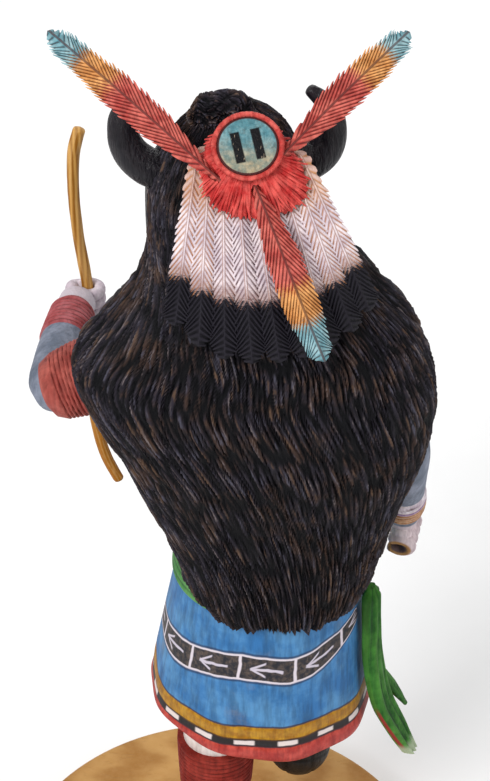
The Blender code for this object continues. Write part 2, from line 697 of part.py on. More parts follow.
# Rosette
def make_rosette():
    """Round disc with a raised rim and a dowel that goes down into the head."""
    sides = 36
    level = ROSETTE_LEVEL
    inner = ROSETTE_RADIUS - ROSETTE_RIM_WIDTH
    profile = ((DOWEL_RADIUS, -level - DOWEL_DEPTH + GAP), (DOWEL_RADIUS, 0.0),
               (ROSETTE_RADIUS - 0.0006, 0.0), (ROSETTE_RADIUS, 0.0007),
               (ROSETTE_RADIUS, ROSETTE_THICKNESS - 0.0006),
               (ROSETTE_RADIUS - 0.0006, ROSETTE_THICKNESS), (inner, ROSETTE_THICKNESS),
               (inner - 0.0002, ROSETTE_THICKNESS - ROSETTE_RECESS))
    rings = [[crown_point(radius * math.cos(math.tau * k / sides),
                          radius * math.sin(math.tau * k / sides), level + lift)
              for k in range(sides)] for radius, lift in profile]
    return skin("rosette", rings)


# Horns and bow
def make_horn(name, route, extra=0.0):
    """Bent horn, thick at its root in the head and pointed at its tip."""
    points = [tuple(at(*point[:3])) + (point[3] * HORN_ROOT_RADIUS,) for point in spline(route, 2)]
    return tube(name, points, sides=12, extra=extra)


def make_bow(name, extra=0.0):
    """Bent wooden stave with a knob at its upper end."""
    curve = spline(BOW_ROUTE, 2)
    points = []
    for index, point in enumerate(curve):
        swell = 1.12 if index < 2 else 1.0
        points.append(tuple(at(*point)) + (0.5 * BOW_WIDTH * swell,))
    return tube(name, points, sides=8, flat=BOW_THICKNESS / BOW_WIDTH, side_axis=Vector((1, 0, 0)),
                extra=extra)


# Sash and shell
def kilt_side(y, h):
    """Point on the kilt's right side at a depth and a height, and the way it faces, in shares."""
    rows = KILT_STATIONS
    level = min(max(h, rows[0][0]), rows[-1][0])
    for low, high in zip(rows, rows[1:]):
        if low[0] <= level <= high[0]:
            mix = (level - low[0]) / (high[0] - low[0])
            centre, half_width, back = [a + mix * (b - a) for a, b in zip(low[1:4], high[1:4])]
    depth = KILT_MIDDLE - back
    along = (y - KILT_MIDDLE) / depth
    across = math.sqrt(1.0 - along * along)
    facing = Vector((across / half_width, along / depth, 0.0)).normalized()
    return Vector((centre + half_width * across, y, 0.0)), facing


def sash_ring(y, h, away, spread):
    """Section of the sash laid against the kilt's side, or standing away from it."""
    half = 0.5 * SASH_THICKNESS / SHARE
    wide = 0.5 * SASH_WIDTH / SHARE * spread
    edge, facing = kilt_side(y, h)
    side = Vector((-facing.y, facing.x, 0.0))
    centre = edge + facing * (2.0 * GAP / SHARE + half + KILT_FOLD_DEPTH + away)
    ring = [centre + side * wide * across + facing * half * level for across, level in SASH_SECTION]
    return [at(point.x, point.y, h) for point in ring]


def make_sash():
    """Folded strip that rests on the kilt below the belt and flares away from it at its end."""
    body = skin("sash", [sash_ring(*row) for row in SASH_ROUTE])
    half = 0.5 * SASH_THICKNESS / SHARE
    tail = []
    for away, y, h, radius in SASH_TAIL:
        edge, facing = kilt_side(y, h)
        middle = edge + facing * (half + away)
        tail.append(tuple(at(middle.x, y, h)) + (radius * SHARE,))
    return join(body, [tube("sash_tail", tail, sides=8)])


def make_shell():
    """Oval shell tied behind the right knee, hollowed to the leg."""
    shell = ellipsoid("shell", at(*SHELL_CENTRE),
                      (0.5 * SHELL_WIDTH, SHELL_DEPTH, 0.5 * SHELL_HEIGHT), sides=16, rows=9)
    leg = tube("leg_room", figure_route(LEG_RIGHT), sides=TUBE_SIDES, extra=GAP)
    combine(shell, leg, "DIFFERENCE")
    garter = make_garter("garter_room", LEG_RIGHT, GARTER_RIGHT, GAP)
    return combine(shell, garter, "DIFFERENCE")


# Base
def make_base():
    """Round wooden plinth with rounded edges and two dowel holes."""
    sides = 52
    edge = BASE_EDGE_ROUND
    profile = ((BASE_RADIUS - 0.4 * edge, 0.0), (BASE_RADIUS, 0.4 * edge),
               (BASE_RADIUS, BASE_THICKNESS - edge),
               (BASE_RADIUS - 0.3 * edge, BASE_THICKNESS - 0.3 * edge),
               (BASE_RADIUS - edge, BASE_THICKNESS))
    rings = [[Vector((radius * math.cos(math.tau * k / sides),
                      radius * math.sin(math.tau * k / sides), level)) for k in range(sides)]
             for radius, level in profile]
    base = skin("base", rings)
    for along in PEGS_ALONG:
        low, high = peg_ends(along, GAP)
        combine(base, cylinder("socket", low, high, FOOT_PEG_RADIUS + GAP, 16), "DIFFERENCE")
    return base


def make_figure():
    """The carving: everything that is cut from one block, with its sockets."""
    figure = make_mane()
    legs = [tube("leg_left", figure_route(LEG_LEFT)), tube("leg_right", figure_route(LEG_RIGHT))]
    shoes = [make_shoe("shoe", *foot) for foot in (SHOE_LEFT, SHOE_RIGHT)]
    pegs = [cylinder("peg", *peg_ends(along), FOOT_PEG_RADIUS, 16) for along in PEGS_ALONG]
    snout_turn = math.radians(FACE_TURN)
    ahead = Vector((-math.sin(snout_turn), math.cos(snout_turn), 0.0))
    face = at(MASK_AXIS[0], MASK_AXIS[1], SNOUT_HEIGHT)
    snout = [tuple(face + ahead * reach * SHARE) + (radius * SHARE,)
             for reach, radius in ((18, 8.0), (26, 7.4), (32, 6.4))]
    join(figure, [
        oval_body("torso", TORSO_STATIONS, TORSO_SIDES),
        oval_body("mask", MASK_STATIONS, TORSO_SIDES, FACE_TURN, MASK_AXIS, MASK_TOP),
        tube("snout", snout, sides=14),
        oval_body("belt", BELT_STATIONS, 40),
        make_kilt(),
        tube("arm_left", figure_route(ARM_LEFT)),
        tube("yarn_left", figure_route(YARN_LEFT), sides=18),
        tube("band_left", figure_route(BAND_LEFT, 1), sides=14),
        tube("arm_right", figure_route(ARM_RIGHT)),
        tube("cuff_right", figure_route(CUFF_RIGHT, 1), sides=14),
        make_left_hand(),
        make_right_hand(),
        *legs,
        make_garter("garter_left", LEG_LEFT, GARTER_LEFT),
        make_garter("garter_right", LEG_RIGHT, GARTER_RIGHT),
        *shoes,
        *pegs,
    ])
    cutters = [
        make_horn("horn_room", HORN_LEFT, GAP),
        make_horn("horn_room", HORN_RIGHT, GAP),
        make_bow("bow_room", GAP),
        cylinder("seat", crown_point(0, 0, 0), crown_point(0, 0, SEAT_ROOM), SEAT_RADIUS),
        cylinder("dowel_room", crown_point(0, 0, -DOWEL_DEPTH), crown_point(0, 0, SEAT_ROOM),
                 DOWEL_RADIUS + GAP, 20),
    ]
    for cutter in cutters:
        combine(figure, cutter, "DIFFERENCE")
    return figure


def build():
    """Make every piece and paint it."""
    for item in list(bpy.data.objects):
        bpy.data.objects.remove(item)
    finish(make_base(), "base", (0.60, 0.42, 0.22), 0.6)
    finish(make_figure(), "figure", (0.05, 0.04, 0.04), 0.65)
    finish(make_horn("horn_left", HORN_LEFT), "horn_left", (0.012, 0.012, 0.014), 0.35)
    finish(make_horn("horn_right", HORN_RIGHT), "horn_right", (0.012, 0.012, 0.014), 0.35)
    finish(make_fan(), "feather_fan", (0.80, 0.74, 0.62), 0.6)
    tuft = make_tuft()
    for name in LONG_FEATHERS:
        combine(tuft, make_long_feather(name, GAP), "DIFFERENCE")
        finish(make_long_feather(name), name, (0.62, 0.09, 0.05), 0.55)
    finish(tuft, "red_tuft", (0.60, 0.03, 0.02), 0.6)
    finish(make_rosette(), "rosette", (0.22, 0.52, 0.52), 0.5)
    finish(make_bow("bow"), "bow", (0.62, 0.40, 0.13), 0.5)
    finish(make_shell(), "turtle_shell", (0.04, 0.035, 0.03), 0.5)
    finish(make_sash(), "sash", (0.04, 0.32, 0.08), 0.6)


build()
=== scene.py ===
# %% [markdown]
# # A carved and painted buffalo dancer, seen from behind
# The real object is a wooden figure: one block cut into hair, mask, arms, kilt and legs, with
# horns, feathers, a rosette, a bow and a sash set in or beside it. A plain CAD model gives every
# size and place. This lesson carves the fine work over it and paints it with node materials.
# The frame is loaded first, because each piece is placed in its metres.

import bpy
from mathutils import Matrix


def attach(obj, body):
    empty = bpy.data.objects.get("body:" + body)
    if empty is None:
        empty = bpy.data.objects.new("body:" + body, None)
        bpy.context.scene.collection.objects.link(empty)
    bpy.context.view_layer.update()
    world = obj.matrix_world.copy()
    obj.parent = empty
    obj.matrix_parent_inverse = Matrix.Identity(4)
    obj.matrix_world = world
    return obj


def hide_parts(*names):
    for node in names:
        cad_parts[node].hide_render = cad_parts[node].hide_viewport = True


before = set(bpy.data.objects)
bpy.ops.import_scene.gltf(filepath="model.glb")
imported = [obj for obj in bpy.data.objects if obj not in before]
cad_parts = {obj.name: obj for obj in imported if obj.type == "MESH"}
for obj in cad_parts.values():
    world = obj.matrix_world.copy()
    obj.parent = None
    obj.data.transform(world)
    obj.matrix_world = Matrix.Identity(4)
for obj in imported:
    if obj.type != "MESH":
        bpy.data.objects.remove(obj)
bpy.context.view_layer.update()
print("nodes to dress:", sorted(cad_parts))

# %% Open the tool box
import math

import bmesh
import bpy
import numpy as np
from mathutils import Vector

MM = 0.001
SOLE_LEVEL = 0.0153
TURN = math.tau
print("figure's soles stand", SOLE_LEVEL / MM, "mm above the shelf")

# %% [markdown]
# ## Camera, floor and light
# The object is looked down on from behind, at about 36 degrees, from a little over half a metre.
# A real photographer would use a long lens and large diffusers on a white table. The same is
# done here: one narrow lens, three wide soft lamps, a white sky and a pale floor, so that the
# carving is lit from the upper left and its cuts stay readable.

# %% Stand the camera
TARGET = Vector((0.0087, 0.003, 0.215))
DISTANCE = 0.590
LOOK_DOWN = math.radians(36.0)


def put(name, data):
    """New object in the scene that holds a camera, a lamp or a mesh."""
    item = bpy.data.objects.new(name, data)
    bpy.context.scene.collection.objects.link(item)
    return item


def aim(item, place, target):
    """Stand a camera or a lamp at a place and turn it to its target."""
    item.location = place
    item.rotation_euler = (target - item.location).to_track_quat("-Z", "Y").to_euler()


lens = bpy.data.cameras.new("lens")
lens.lens = 95.9
lens.sensor_width = 36.0
lens.clip_start = 0.01
camera = put("camera", lens)
aim(camera, TARGET + DISTANCE * Vector((0.0, -math.cos(LOOK_DOWN), math.sin(LOOK_DOWN))), TARGET)
bpy.context.scene.camera = camera
print("camera at", [round(value, 3) for value in camera.location])

# %% Hang the lamps
sky = bpy.data.worlds.new("white_sky")
sky.use_nodes = True
sky.node_tree.nodes["Background"].inputs["Color"].default_value = (1.0, 1.0, 1.0, 1.0)
sky.node_tree.nodes["Background"].inputs["Strength"].default_value = 0.50
bpy.context.scene.world = sky
bpy.context.scene.view_settings.view_transform = "Standard"

# name, place, width in metres and power in watts
LAMPS = (("key_lamp", (-0.55, -0.75, 1.05), 0.55, 12.5),
         ("fill_lamp", (0.95, -0.55, 0.65), 0.70, 3.6),
         ("back_lamp", (0.10, 0.95, 0.85), 0.80, 5.0))
LIT_POINT = Vector((0, 0, 0.18))
for name, place, width, power in LAMPS:
    lamp = bpy.data.lights.new(name, "AREA")
    lamp.size = width
    lamp.energy = power
    aim(put(name, lamp), place, LIT_POINT)

# %% [markdown]
# ## Helpers that build meshes
# Carved wood is made here as skins: rings of points, one after another, joined by faces. A ring
# is an array, so a cut is only a sum on that array. Two facts travel with each point into the
# paint: where it lies along its piece, and how high it stands between the cuts.

# %% Smooth routes and points of the figure
def at(x, y, h):
    """Points of the figure, from millimetres over the soles to metres over the shelf."""
    x, y, h = np.broadcast_arrays(x, y, h)
    return np.stack([x * MM, y * MM, SOLE_LEVEL + h * MM], axis=-1)


def spline(points, steps):
    """Smooth curve through rows of numbers, with steps per span."""
    rows = np.array(points, float)
    rows = np.vstack([rows[:1], rows, rows[-1:]])
    t = (np.arange(steps) / steps)[:, None]
    spans = []
    for a, b, c, d in zip(rows, rows[1:], rows[2:], rows[3:]):
        spans.append(0.5 * (2 * b + (c - a) * t + (2 * a - 5 * b + 4 * c - d) * t * t
                            + (3 * b - a - 3 * c + d) * t ** 3))
    return np.vstack(spans + [rows[-1:]])


def walked(points):
    """Distance from the first point to each point, along the line through them."""
    return np.concatenate([[0.0], np.cumsum(np.linalg.norm(np.diff(points, axis=0), axis=1))])


def even_steps(curve, count, columns=3):
    """The same curve with its points at even distances, measured over its first columns."""
    walk = walked(curve[:, :columns])
    marks = np.linspace(0.0, walk[-1], count)
    return np.stack([np.interp(marks, walk, column) for column in curve.T], axis=1), marks


def circle(count):
    """Angles of evenly spaced points round a ring."""
    return TURN * np.arange(count) / count


def bulge(wave, power):
    """A sine or cosine pushed outwards, so that the circle that it draws turns squarer."""
    return np.sign(wave) * np.abs(wave) ** power


def unit(*values):
    """A direction of length one."""
    values = np.array(values, float)
    return values / np.linalg.norm(values)


def swung(x, y, angle):
    """A pair of coordinates turned about the vertical axis."""
    return x * math.cos(angle) - y * math.sin(angle), x * math.sin(angle) + y * math.cos(angle)


print("smooth curve of 3 points has", len(spline(((0, 0), (1, 1), (2, 0)), 8)), "points")


# %% Chance that is the same every time
def chance(i, j=0.0, seed=0.0):
    """Repeatable number from 0 to 1 for a pair of whole numbers."""
    wave = np.sin(np.asarray(i) * 127.1 + np.asarray(j) * 311.7 + seed * 74.7) * 43758.5453
    return wave - np.floor(wave)


def ripple(x, y, seed=0.0):
    """Smooth uneven surface from 0 to 1, with bumps about one unit wide."""
    i, j = np.floor(x), np.floor(y)
    u, v = x - i, y - j
    u, v = u * u * (3 - 2 * u), v * v * (3 - 2 * v)
    low = chance(i, j, seed) * (1 - u) + chance(i + 1, j, seed) * u
    high = chance(i, j + 1, seed) * (1 - u) + chance(i + 1, j + 1, seed) * u
    return low * (1 - v) + high * v


def ease(value, low, high):
    """0 below low, 1 above high and smooth between."""
    t = np.clip((value - low) / (high - low), 0.0, 1.0)
    return t * t * (3 - 2 * t)


print("first chances:", np.round(chance(np.arange(4)), 2))


# %% Skins from rings
def skin(name, rings, paint, along=None, crest=None, tips=(None, None), loop=False):
    """Closed body through rings of points, with its paint and the facts that travel with it."""
    rings = np.asarray(rings, float)
    rows, count = rings.shape[:2]
    along = np.zeros((rows, count, 3)) if along is None else along
    crest = np.ones((rows, count)) if crest is None else crest
    points, facts, heights = rings.reshape(-1, 3), along.reshape(-1, 3), crest.reshape(-1)
    row = np.arange(rows if loop else rows - 1)[:, None] * count
    step = np.arange(count)[None, :]
    after = (step + 1) % count
    above = (row + count) % (rows * count)
    faces = np.stack([row + step, row + after, above + after, above + step], -1).reshape(-1, 4)
    faces = faces.tolist()
    if not loop:
        for end, tip in ((0, tips[0]), (rows - 1, tips[1])):
            pole = len(points)
            points = np.vstack([points, [rings[end].mean(0) if tip is None else np.array(tip)]])
            facts = np.vstack([facts, [along[end].mean(0)]])
            heights = np.append(heights, crest[end].mean())
            faces += [(end * count + k, end * count + (k + 1) % count, pole) for k in range(count)]
    mesh = bpy.data.meshes.new(name)
    mesh.from_pydata(points.tolist(), [], faces)
    corner = np.zeros(len(mesh.loops), np.int32)
    mesh.loops.foreach_get("vertex_index", corner)
    lie = mesh.attributes.new("lie", "FLOAT_VECTOR", "CORNER")
    lie.data.foreach_set("vector", facts[corner].astype(np.float32).ravel())
    rise = mesh.attributes.new("rise", "FLOAT", "CORNER")
    rise.data.foreach_set("value", heights[corner].astype(np.float32))
    mesh.materials.append(paint)
    shape = bmesh.new()
    shape.from_mesh(mesh)
    bmesh.ops.recalc_face_normals(shape, faces=shape.faces)
    if shape.calc_volume(signed=True) < 0:
        bmesh.ops.reverse_faces(shape, faces=shape.faces)
    shape.to_mesh(mesh)
    shape.free()
    return put(name, mesh)


# %% Join and cut bodies
def shape_with(body, tool, operation):
    """Join a tool to a body or cut it away, keeping paint and facts, and drop the tool."""
    step = body.modifiers.new("carve", "BOOLEAN")
    step.operation = operation
    step.solver = "MANIFOLD"
    step.material_mode = "TRANSFER"
    step.object = tool
    bpy.context.view_layer.update()
    graph = bpy.context.evaluated_depsgraph_get()
    result = bpy.data.meshes.new_from_object(body.evaluated_get(graph))
    body.modifiers.clear()
    body.data = result
    bpy.data.objects.remove(tool)
    return body


def joined(bodies):
    """All the bodies as one, united in the given order."""
    first = bodies[0]
    for tool in bodies[1:]:
        shape_with(first, tool, "UNION")
    return first


def cut_out(body, tool):
    """The body without the room that the tool takes up."""
    return shape_with(body, tool, "DIFFERENCE")


def finish_piece(item, name, node, slot=None, sharp=50.0):
    """Name a piece, shade it, tie it to the frame and hide the CAD node that it stands for."""
    item.name = name
    item.data.name = name
    item.data.shade_smooth()
    item.data.set_sharp_from_angle(angle=math.radians(sharp))
    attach(item, "root")
    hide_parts(node)
    slot or node
    size = np.ptp(np.array([v.co for v in item.data.vertices]), axis=0) / MM
    print(f"{name}: {len(item.data.polygons)} faces, {np.round(size, 1)} mm")


# %% Tubes for limbs, fingers, staves and quills
CAP_BENDS = (0.6, 1.0, 1.35)
CAP_LENGTH = 0.55


def limb(name, route, sides, rows, paint, relief=None, flat=1.0, side=(1.0, 0.3, 0.2)):
    """Round-ended tube along a route of x, y, height and radius."""
    curve, walk = even_steps(spline(route, 8), rows)
    centres = at(curve[:, 0], curve[:, 1], curve[:, 2])
    radii, walk = curve[:, 3] * MM, walk * MM
    tangents = np.gradient(centres, axis=0)
    tangents /= np.linalg.norm(tangents, axis=1)[:, None]
    across = np.array(side, float)
    turn = circle(sides)
    rings, along, crest = [], [], []
    caps = [(0, -math.sin(bend), math.cos(bend)) for bend in CAP_BENDS[::-1]]
    caps += [(k, 0.0, 1.0) for k in range(rows)]
    caps += [(rows - 1, math.sin(bend), math.cos(bend)) for bend in CAP_BENDS]
    for index, push, shrink in caps:
        tangent = tangents[index]
        across = across - tangent * across.dot(tangent)
        across /= np.linalg.norm(across)
        other = np.cross(tangent, across)
        height = np.ones(sides)
        radius = np.full(sides, radii[index]) * shrink
        if relief and push == 0.0:
            depth, height = relief(turn, walk[index])
            radius = radius + depth
        rings.append(centres[index] + tangent * radii[index] * push * CAP_LENGTH
                     + np.outer(radius * np.cos(turn), across)
                     + np.outer(radius * flat * np.sin(turn), other))
        along.append(np.stack([turn * radii[index], np.full(sides, walk[index]),
                               np.zeros(sides)], -1))
        crest.append(height)
    first, last = [tangents[k] * radii[k] * (CAP_LENGTH + 0.01) for k in (0, -1)]
    ends = [centres[0] - first, centres[-1] + last]
    return skin(name, rings, paint, np.array(along), np.array(crest), ends)


# %% [markdown]
# ## Helpers that mix paint
# Craft paint on wood is never one flat colour: it is brushed on in strokes. Over that, shade
# is painted into the cuts and a highlight onto the crests. Those effects are shared by nearly
# every piece, so each becomes a node group with its own inputs, placed in a material with its
# own values. The shader itself stays in the material, because only colours and heights travel
# well out of a group.

# %% Short words for nodes
def feed(tree, node, inputs):
    """Set a node's inputs or join sockets to them, by label or by number, as in i0."""
    for key, value in inputs.items():
        numbered = key[0] == "i" and key[1:].isdigit()
        socket = node.inputs[int(key[1:]) if numbered else key.replace("_", " ")]
        if isinstance(value, bpy.types.NodeSocket):
            tree.links.new(value, socket)
        else:
            socket.default_value = value
    return node


def add(tree, kind, settings=None, **inputs):
    """Add one node; inputs are values or sockets to join."""
    node = tree.nodes.new("ShaderNode" + kind)
    for key, value in (settings or {}).items():
        setattr(node, key, value)
    return feed(tree, node, inputs)


def calc(tree, operation, a, b=0.0, c=0.0):
    """One step of arithmetic on values."""
    return add(tree, "Math", {"operation": operation}, i0=a, i1=b, i2=c).outputs[0]


def mix_paint(tree, factor, under, over):
    """Lay one colour over another where the factor is high."""
    return add(tree, "Mix", {"data_type": "RGBA"}, i0=factor, i6=under, i7=over).outputs[2]


def fade(tree, value, low, high):
    """Smooth step of a value between two levels."""
    return add(tree, "MapRange", {"interpolation_type": "SMOOTHSTEP"}, Value=value,
               i1=low, i2=high).outputs[0]


STRONGER = 1.16


def rgb(red, green, blue):
    """A linear colour with full cover, a little stronger than written: the light mutes it."""
    grey = 0.2126 * red + 0.7152 * green + 0.0722 * blue
    mixed = [max(0.25 * level, grey + (level - grey) * STRONGER) for level in (red, green, blue)]
    return (*mixed, 1.0)


def new_group(name, inputs, outputs):
    """Empty shader node group with named sockets."""
    tree = bpy.data.node_groups.new(name, "ShaderNodeTree")
    kinds = {"value": "NodeSocketFloat", "colour": "NodeSocketColor", "vector": "NodeSocketVector"}
    for label, kind, start in inputs:
        socket = tree.interface.new_socket(label, in_out="INPUT", socket_type=kinds[kind])
        if start is not None:
            socket.default_value = start
    for label, kind in outputs:
        tree.interface.new_socket(label, in_out="OUTPUT", socket_type=kinds[kind])
    start, end = [tree.nodes.new("NodeGroup" + side) for side in ("Input", "Output")]
    return tree, start.outputs, end.inputs


def use_group(tree, group, **inputs):
    """Place a shared effect in a material."""
    node = tree.nodes.new("ShaderNodeGroup")
    node.node_tree = group
    return feed(tree, node, inputs).outputs


SHEEN = 0.14


def new_paint(name, roughness, **plain):
    """Material with a Principled shader and the facts that its paint is mixed from."""
    paint = bpy.data.materials.new(name)
    paint.use_nodes = True
    tree = paint.node_tree
    shader = tree.nodes["Principled BSDF"]
    feed(tree, shader, {"Roughness": roughness, "Specular_IOR_Level": SHEEN, **plain})
    place = add(tree, "TexCoord").outputs["Object"]
    lie = add(tree, "Attribute", {"attribute_name": "lie"}).outputs["Vector"]
    rise = add(tree, "Attribute", {"attribute_name": "rise"}).outputs["Fac"]
    return paint, tree, shader, place, lie, rise


def set_surface(tree, shader, colour, height=None, depth=0.0002, strength=0.6):
    """Join a mixed colour, and a height where the surface is uneven, to the shader."""
    tree.links.new(colour, shader.inputs["Base Color"])
    if height is not None:
        bump = add(tree, "Bump", Height=height, Distance=depth, Strength=strength)
        tree.links.new(bump.outputs["Normal"], shader.inputs["Normal"])


# %% [markdown]
# ### Brushed paint
# Acrylic craft paint shows soft patches where it was thin and fine streaks left by the bristles.
# A broad noise chooses between two tones, and a long narrow noise adds the streaks.

# %% Brushed paint group
brushed, wet, dry = new_group(
    "brushed_paint",
    (("Place", "vector", None), ("Tone", "colour", None), ("Thin Tone", "colour", None),
     ("Patch Scale", "value", 120.0), ("Streak Scale", "value", 900.0), ("Streak", "value", 0.3)),
    (("Colour", "colour"), ("Height", "value")))
patches = add(brushed, "TexNoise", Vector=wet["Place"], Scale=wet["Patch Scale"], Detail=4.0,
              Roughness=0.62)
tall = add(brushed, "Mapping", Vector=wet["Place"], Scale=(1.0, 1.0, 0.16))
streaks = add(brushed, "TexNoise", Vector=tall.outputs[0], Scale=wet["Streak Scale"], Detail=3.0,
              Roughness=0.6)
thin = fade(brushed, patches.outputs["Fac"], 0.36, 0.68)
tone = mix_paint(brushed, thin, wet["Tone"], wet["Thin Tone"])
hairs = fade(brushed, streaks.outputs["Fac"], 0.35, 0.7)
shaded = add(brushed, "HueSaturation", Color=tone, Value=calc(
    brushed, "SUBTRACT", 1.0, calc(brushed, "MULTIPLY", hairs, wet["Streak"])))
brushed.links.new(shaded.outputs[0], dry["Colour"])
brushed.links.new(calc(brushed, "SUBTRACT", calc(brushed, "MULTIPLY", thin, 0.4), hairs),
                  dry["Height"])


def brush(tree, place, tone, thin_tone, patch=120.0, streak=0.3, streak_scale=900.0):
    """Brushed paint of two tones; it has a colour and a height."""
    return use_group(tree, brushed, Place=place, Tone=tone, Thin_Tone=thin_tone,
                     Patch_Scale=patch, Streak=streak, Streak_Scale=streak_scale)


print("shared effect:", brushed.name)

# %% [markdown]
# ### Painted shade in the cuts and painted highlight on the crests
# Shade is painted into the carved cuts, and a highlight onto the crests. Both
# need one fact, the height between the cuts, which each mesh carries.

# %% Painted shade and highlight group
carved, wet, dry = new_group(
    "cut_shade_crest_highlight",
    (("Colour", "colour", None), ("Rise", "value", 1.0), ("Cut Colour", "colour", None),
     ("Crest Colour", "colour", None), ("Cut", "value", 0.8), ("Crest", "value", 0.3),
     ("Place", "vector", None), ("Grit", "value", 900.0)),
    (("Colour", "colour"),))
grit = add(carved, "TexNoise", Vector=wet["Place"], Scale=wet["Grit"], Detail=2.0)
uneven = calc(carved, "MULTIPLY_ADD", grit.outputs["Fac"], 0.35, -0.17)
level = calc(carved, "ADD", wet["Rise"], uneven)
# low is where shade is painted into the cuts, high is where a highlight is painted onto the crests
low = calc(carved, "SUBTRACT", 1.0, fade(carved, level, 0.08, 0.62))
high = fade(carved, level, 0.72, 1.05)
cut_shaded = mix_paint(carved, calc(carved, "MULTIPLY", low, wet["Cut"]), wet["Colour"],
                  wet["Cut Colour"])
crest_lit = mix_paint(carved, calc(carved, "MULTIPLY", high, wet["Crest"]), cut_shaded,
                   wet["Crest Colour"])
carved.links.new(crest_lit, dry["Colour"])


def shade_cuts_light_crests(tree, colour, rise, place, cut_shade_tone, crest_highlight_tone, cut, crest, grit=900.0):
    """A colour with painted shade in its cuts and a painted highlight on its crests."""
    return use_group(tree, carved, Colour=colour, Rise=rise, Place=place, Grit=grit,
                     Cut_Colour=cut_shade_tone, Crest_Colour=crest_highlight_tone, Cut=cut, Crest=crest)["Colour"]


print("shared effect:", carved.name)

# %% [markdown]
# ### Stripes
# Feathers, kilt and sleeves all change colour at a painted edge. A shared step gives a band
# between two levels with a soft hand-painted border.

# %% Painted band group
banded, wet, dry = new_group(
    "painted_band",
    (("Value", "value", 0.0), ("Low", "value", 0.0), ("High", "value", 1.0),
     ("Soft", "value", 0.01)), (("Mask", "value"),))
sides = []
for upper, lower in (("Value", "Low"), ("High", "Value")):
    gap = calc(banded, "SUBTRACT", wet[upper], wet[lower])
    sides.append(fade(banded, gap, calc(banded, "MULTIPLY", wet["Soft"], -1.0), wet["Soft"]))
banded.links.new(calc(banded, "MULTIPLY", *sides), dry["Mask"])


def band(tree, value, low, high, soft=0.0003):
    """Mask of the band between two levels of a value."""
    return use_group(tree, banded, Value=value, Low=low, High=high, Soft=soft)["Mask"]


print("shared effect:", banded.name)

# %% [markdown]
# ### Wood grain
# The base and the bow show bare or thinly stained wood. Grain is growth rings cut along the
# tree, so it is a distorted wave, with fine pores on top.

# %% Wood grain group
grained, wet, dry = new_group(
    "wood_grain",
    (("Place", "vector", None), ("Light", "colour", None), ("Dark", "colour", None),
     ("Ring Scale", "value", 60.0), ("Warp", "value", 4.0)),
    (("Colour", "colour"), ("Height", "value")))
rings = add(grained, "TexWave", {"wave_type": "BANDS", "bands_direction": "X"},
            Vector=wet["Place"], Scale=wet["Ring Scale"], Distortion=wet["Warp"], Detail=3.0)
rings.inputs["Detail Scale"].default_value = 1.4
pores = add(grained, "TexNoise", Vector=wet["Place"], Scale=700.0, Detail=3.0)
blotch = add(grained, "TexNoise", Vector=wet["Place"], Scale=45.0, Detail=3.0)
grain = calc(grained, "MULTIPLY_ADD", rings.outputs["Fac"], 0.42,
             calc(grained, "MULTIPLY", blotch.outputs["Fac"], 0.75))
speck = fade(grained, pores.outputs["Fac"], 0.55, 0.75)
tone = mix_paint(grained, fade(grained, grain, 0.3, 0.9), wet["Light"], wet["Dark"])
tone = mix_paint(grained, calc(grained, "MULTIPLY", speck, 0.3), tone, wet["Dark"])
grained.links.new(tone, dry["Colour"])
grained.links.new(calc(grained, "SUBTRACT", grain, speck), dry["Height"])
print("shared effect:", grained.name)

# %% [markdown]
# ## Floor
# A pale board that runs past every edge of the picture. It is only a stage, but it still
# has its own faint unevenness.

# %% Lay the floor
floor_paint, tree, shader, place, lie, rise = new_paint("pale_floor", 0.85)
tone = brush(tree, place, rgb(0.93, 0.93, 0.93), rgb(0.95, 0.95, 0.95), patch=6.0, streak=0.01,
             streak_scale=30.0)
set_surface(tree, shader, tone["Colour"])
REACH = 4.0
CORNERS = ((-REACH, -REACH, 0), (REACH, -REACH, 0), (REACH, REACH, 0), (-REACH, REACH, 0))
floor_mesh = bpy.data.meshes.new("floor")
floor_mesh.from_pydata(CORNERS, [], [(0, 1, 2, 3)])
floor_mesh.materials.append(floor_paint)
floor = put("floor", floor_mesh)
print("floor laid,", 2 * REACH, "m square")

# %% [markdown]
# ## Hair and mane: paint
# The mane is burnt and painted nearly black, its strands charcoal with warmer patches here and
# there. Blue-black shade is painted into its cuts and grey-brown highlights onto its crests. The
# fine hairs are too thin to carve, so a long narrow noise raises them in the surface normal.

# %% Mix the hair paint
hair_paint, tree, shader, place, lie, rise = new_paint("mane_hair", 0.60)
along = add(tree, "Mapping", Vector=lie, Scale=(1500.0, 110.0, 1.0))
hairs = add(tree, "TexNoise", Vector=along.outputs[0], Scale=1.0, Detail=3.0, Roughness=0.65)
ends = add(tree, "Mapping", Vector=lie, Scale=(520.0, 85.0, 1.0))
tufts = add(tree, "TexNoise", Vector=ends.outputs[0], Scale=1.0, Detail=3.0, Roughness=0.6)
warmth = add(tree, "TexNoise", Vector=place, Scale=75.0, Detail=3.0, Roughness=0.65)
strand_tone = mix_paint(tree, fade(tree, warmth.outputs["Fac"], 0.46, 0.62),
                        rgb(0.019, 0.016, 0.023), rgb(0.042, 0.025, 0.020))
# darker where the tuft noise is low, which is where the bump below sinks: painted shade between
# the tufts
strand_tone = mix_paint(tree, fade(tree, tufts.outputs["Fac"], 0.55, 0.35), strand_tone,
                        rgb(0.006, 0.005, 0.007))
# painted shade in the cuts of the locks and painted highlight on their crests
painted = shade_cuts_light_crests(tree, strand_tone, rise, along.outputs[0], rgb(0.001, 0.001, 0.002),
                  rgb(0.155, 0.130, 0.130), cut=1.0, crest=0.55, grit=1.0)
# thin pale streaks along the higher parts of the locks: painted highlights
streak = calc(tree, "MULTIPLY", fade(tree, hairs.outputs["Fac"], 0.50, 0.68), 0.80)
tone = mix_paint(tree, calc(tree, "MULTIPLY", streak, fade(tree, rise, 0.45, 0.85)),
                 painted, rgb(0.190, 0.158, 0.160))
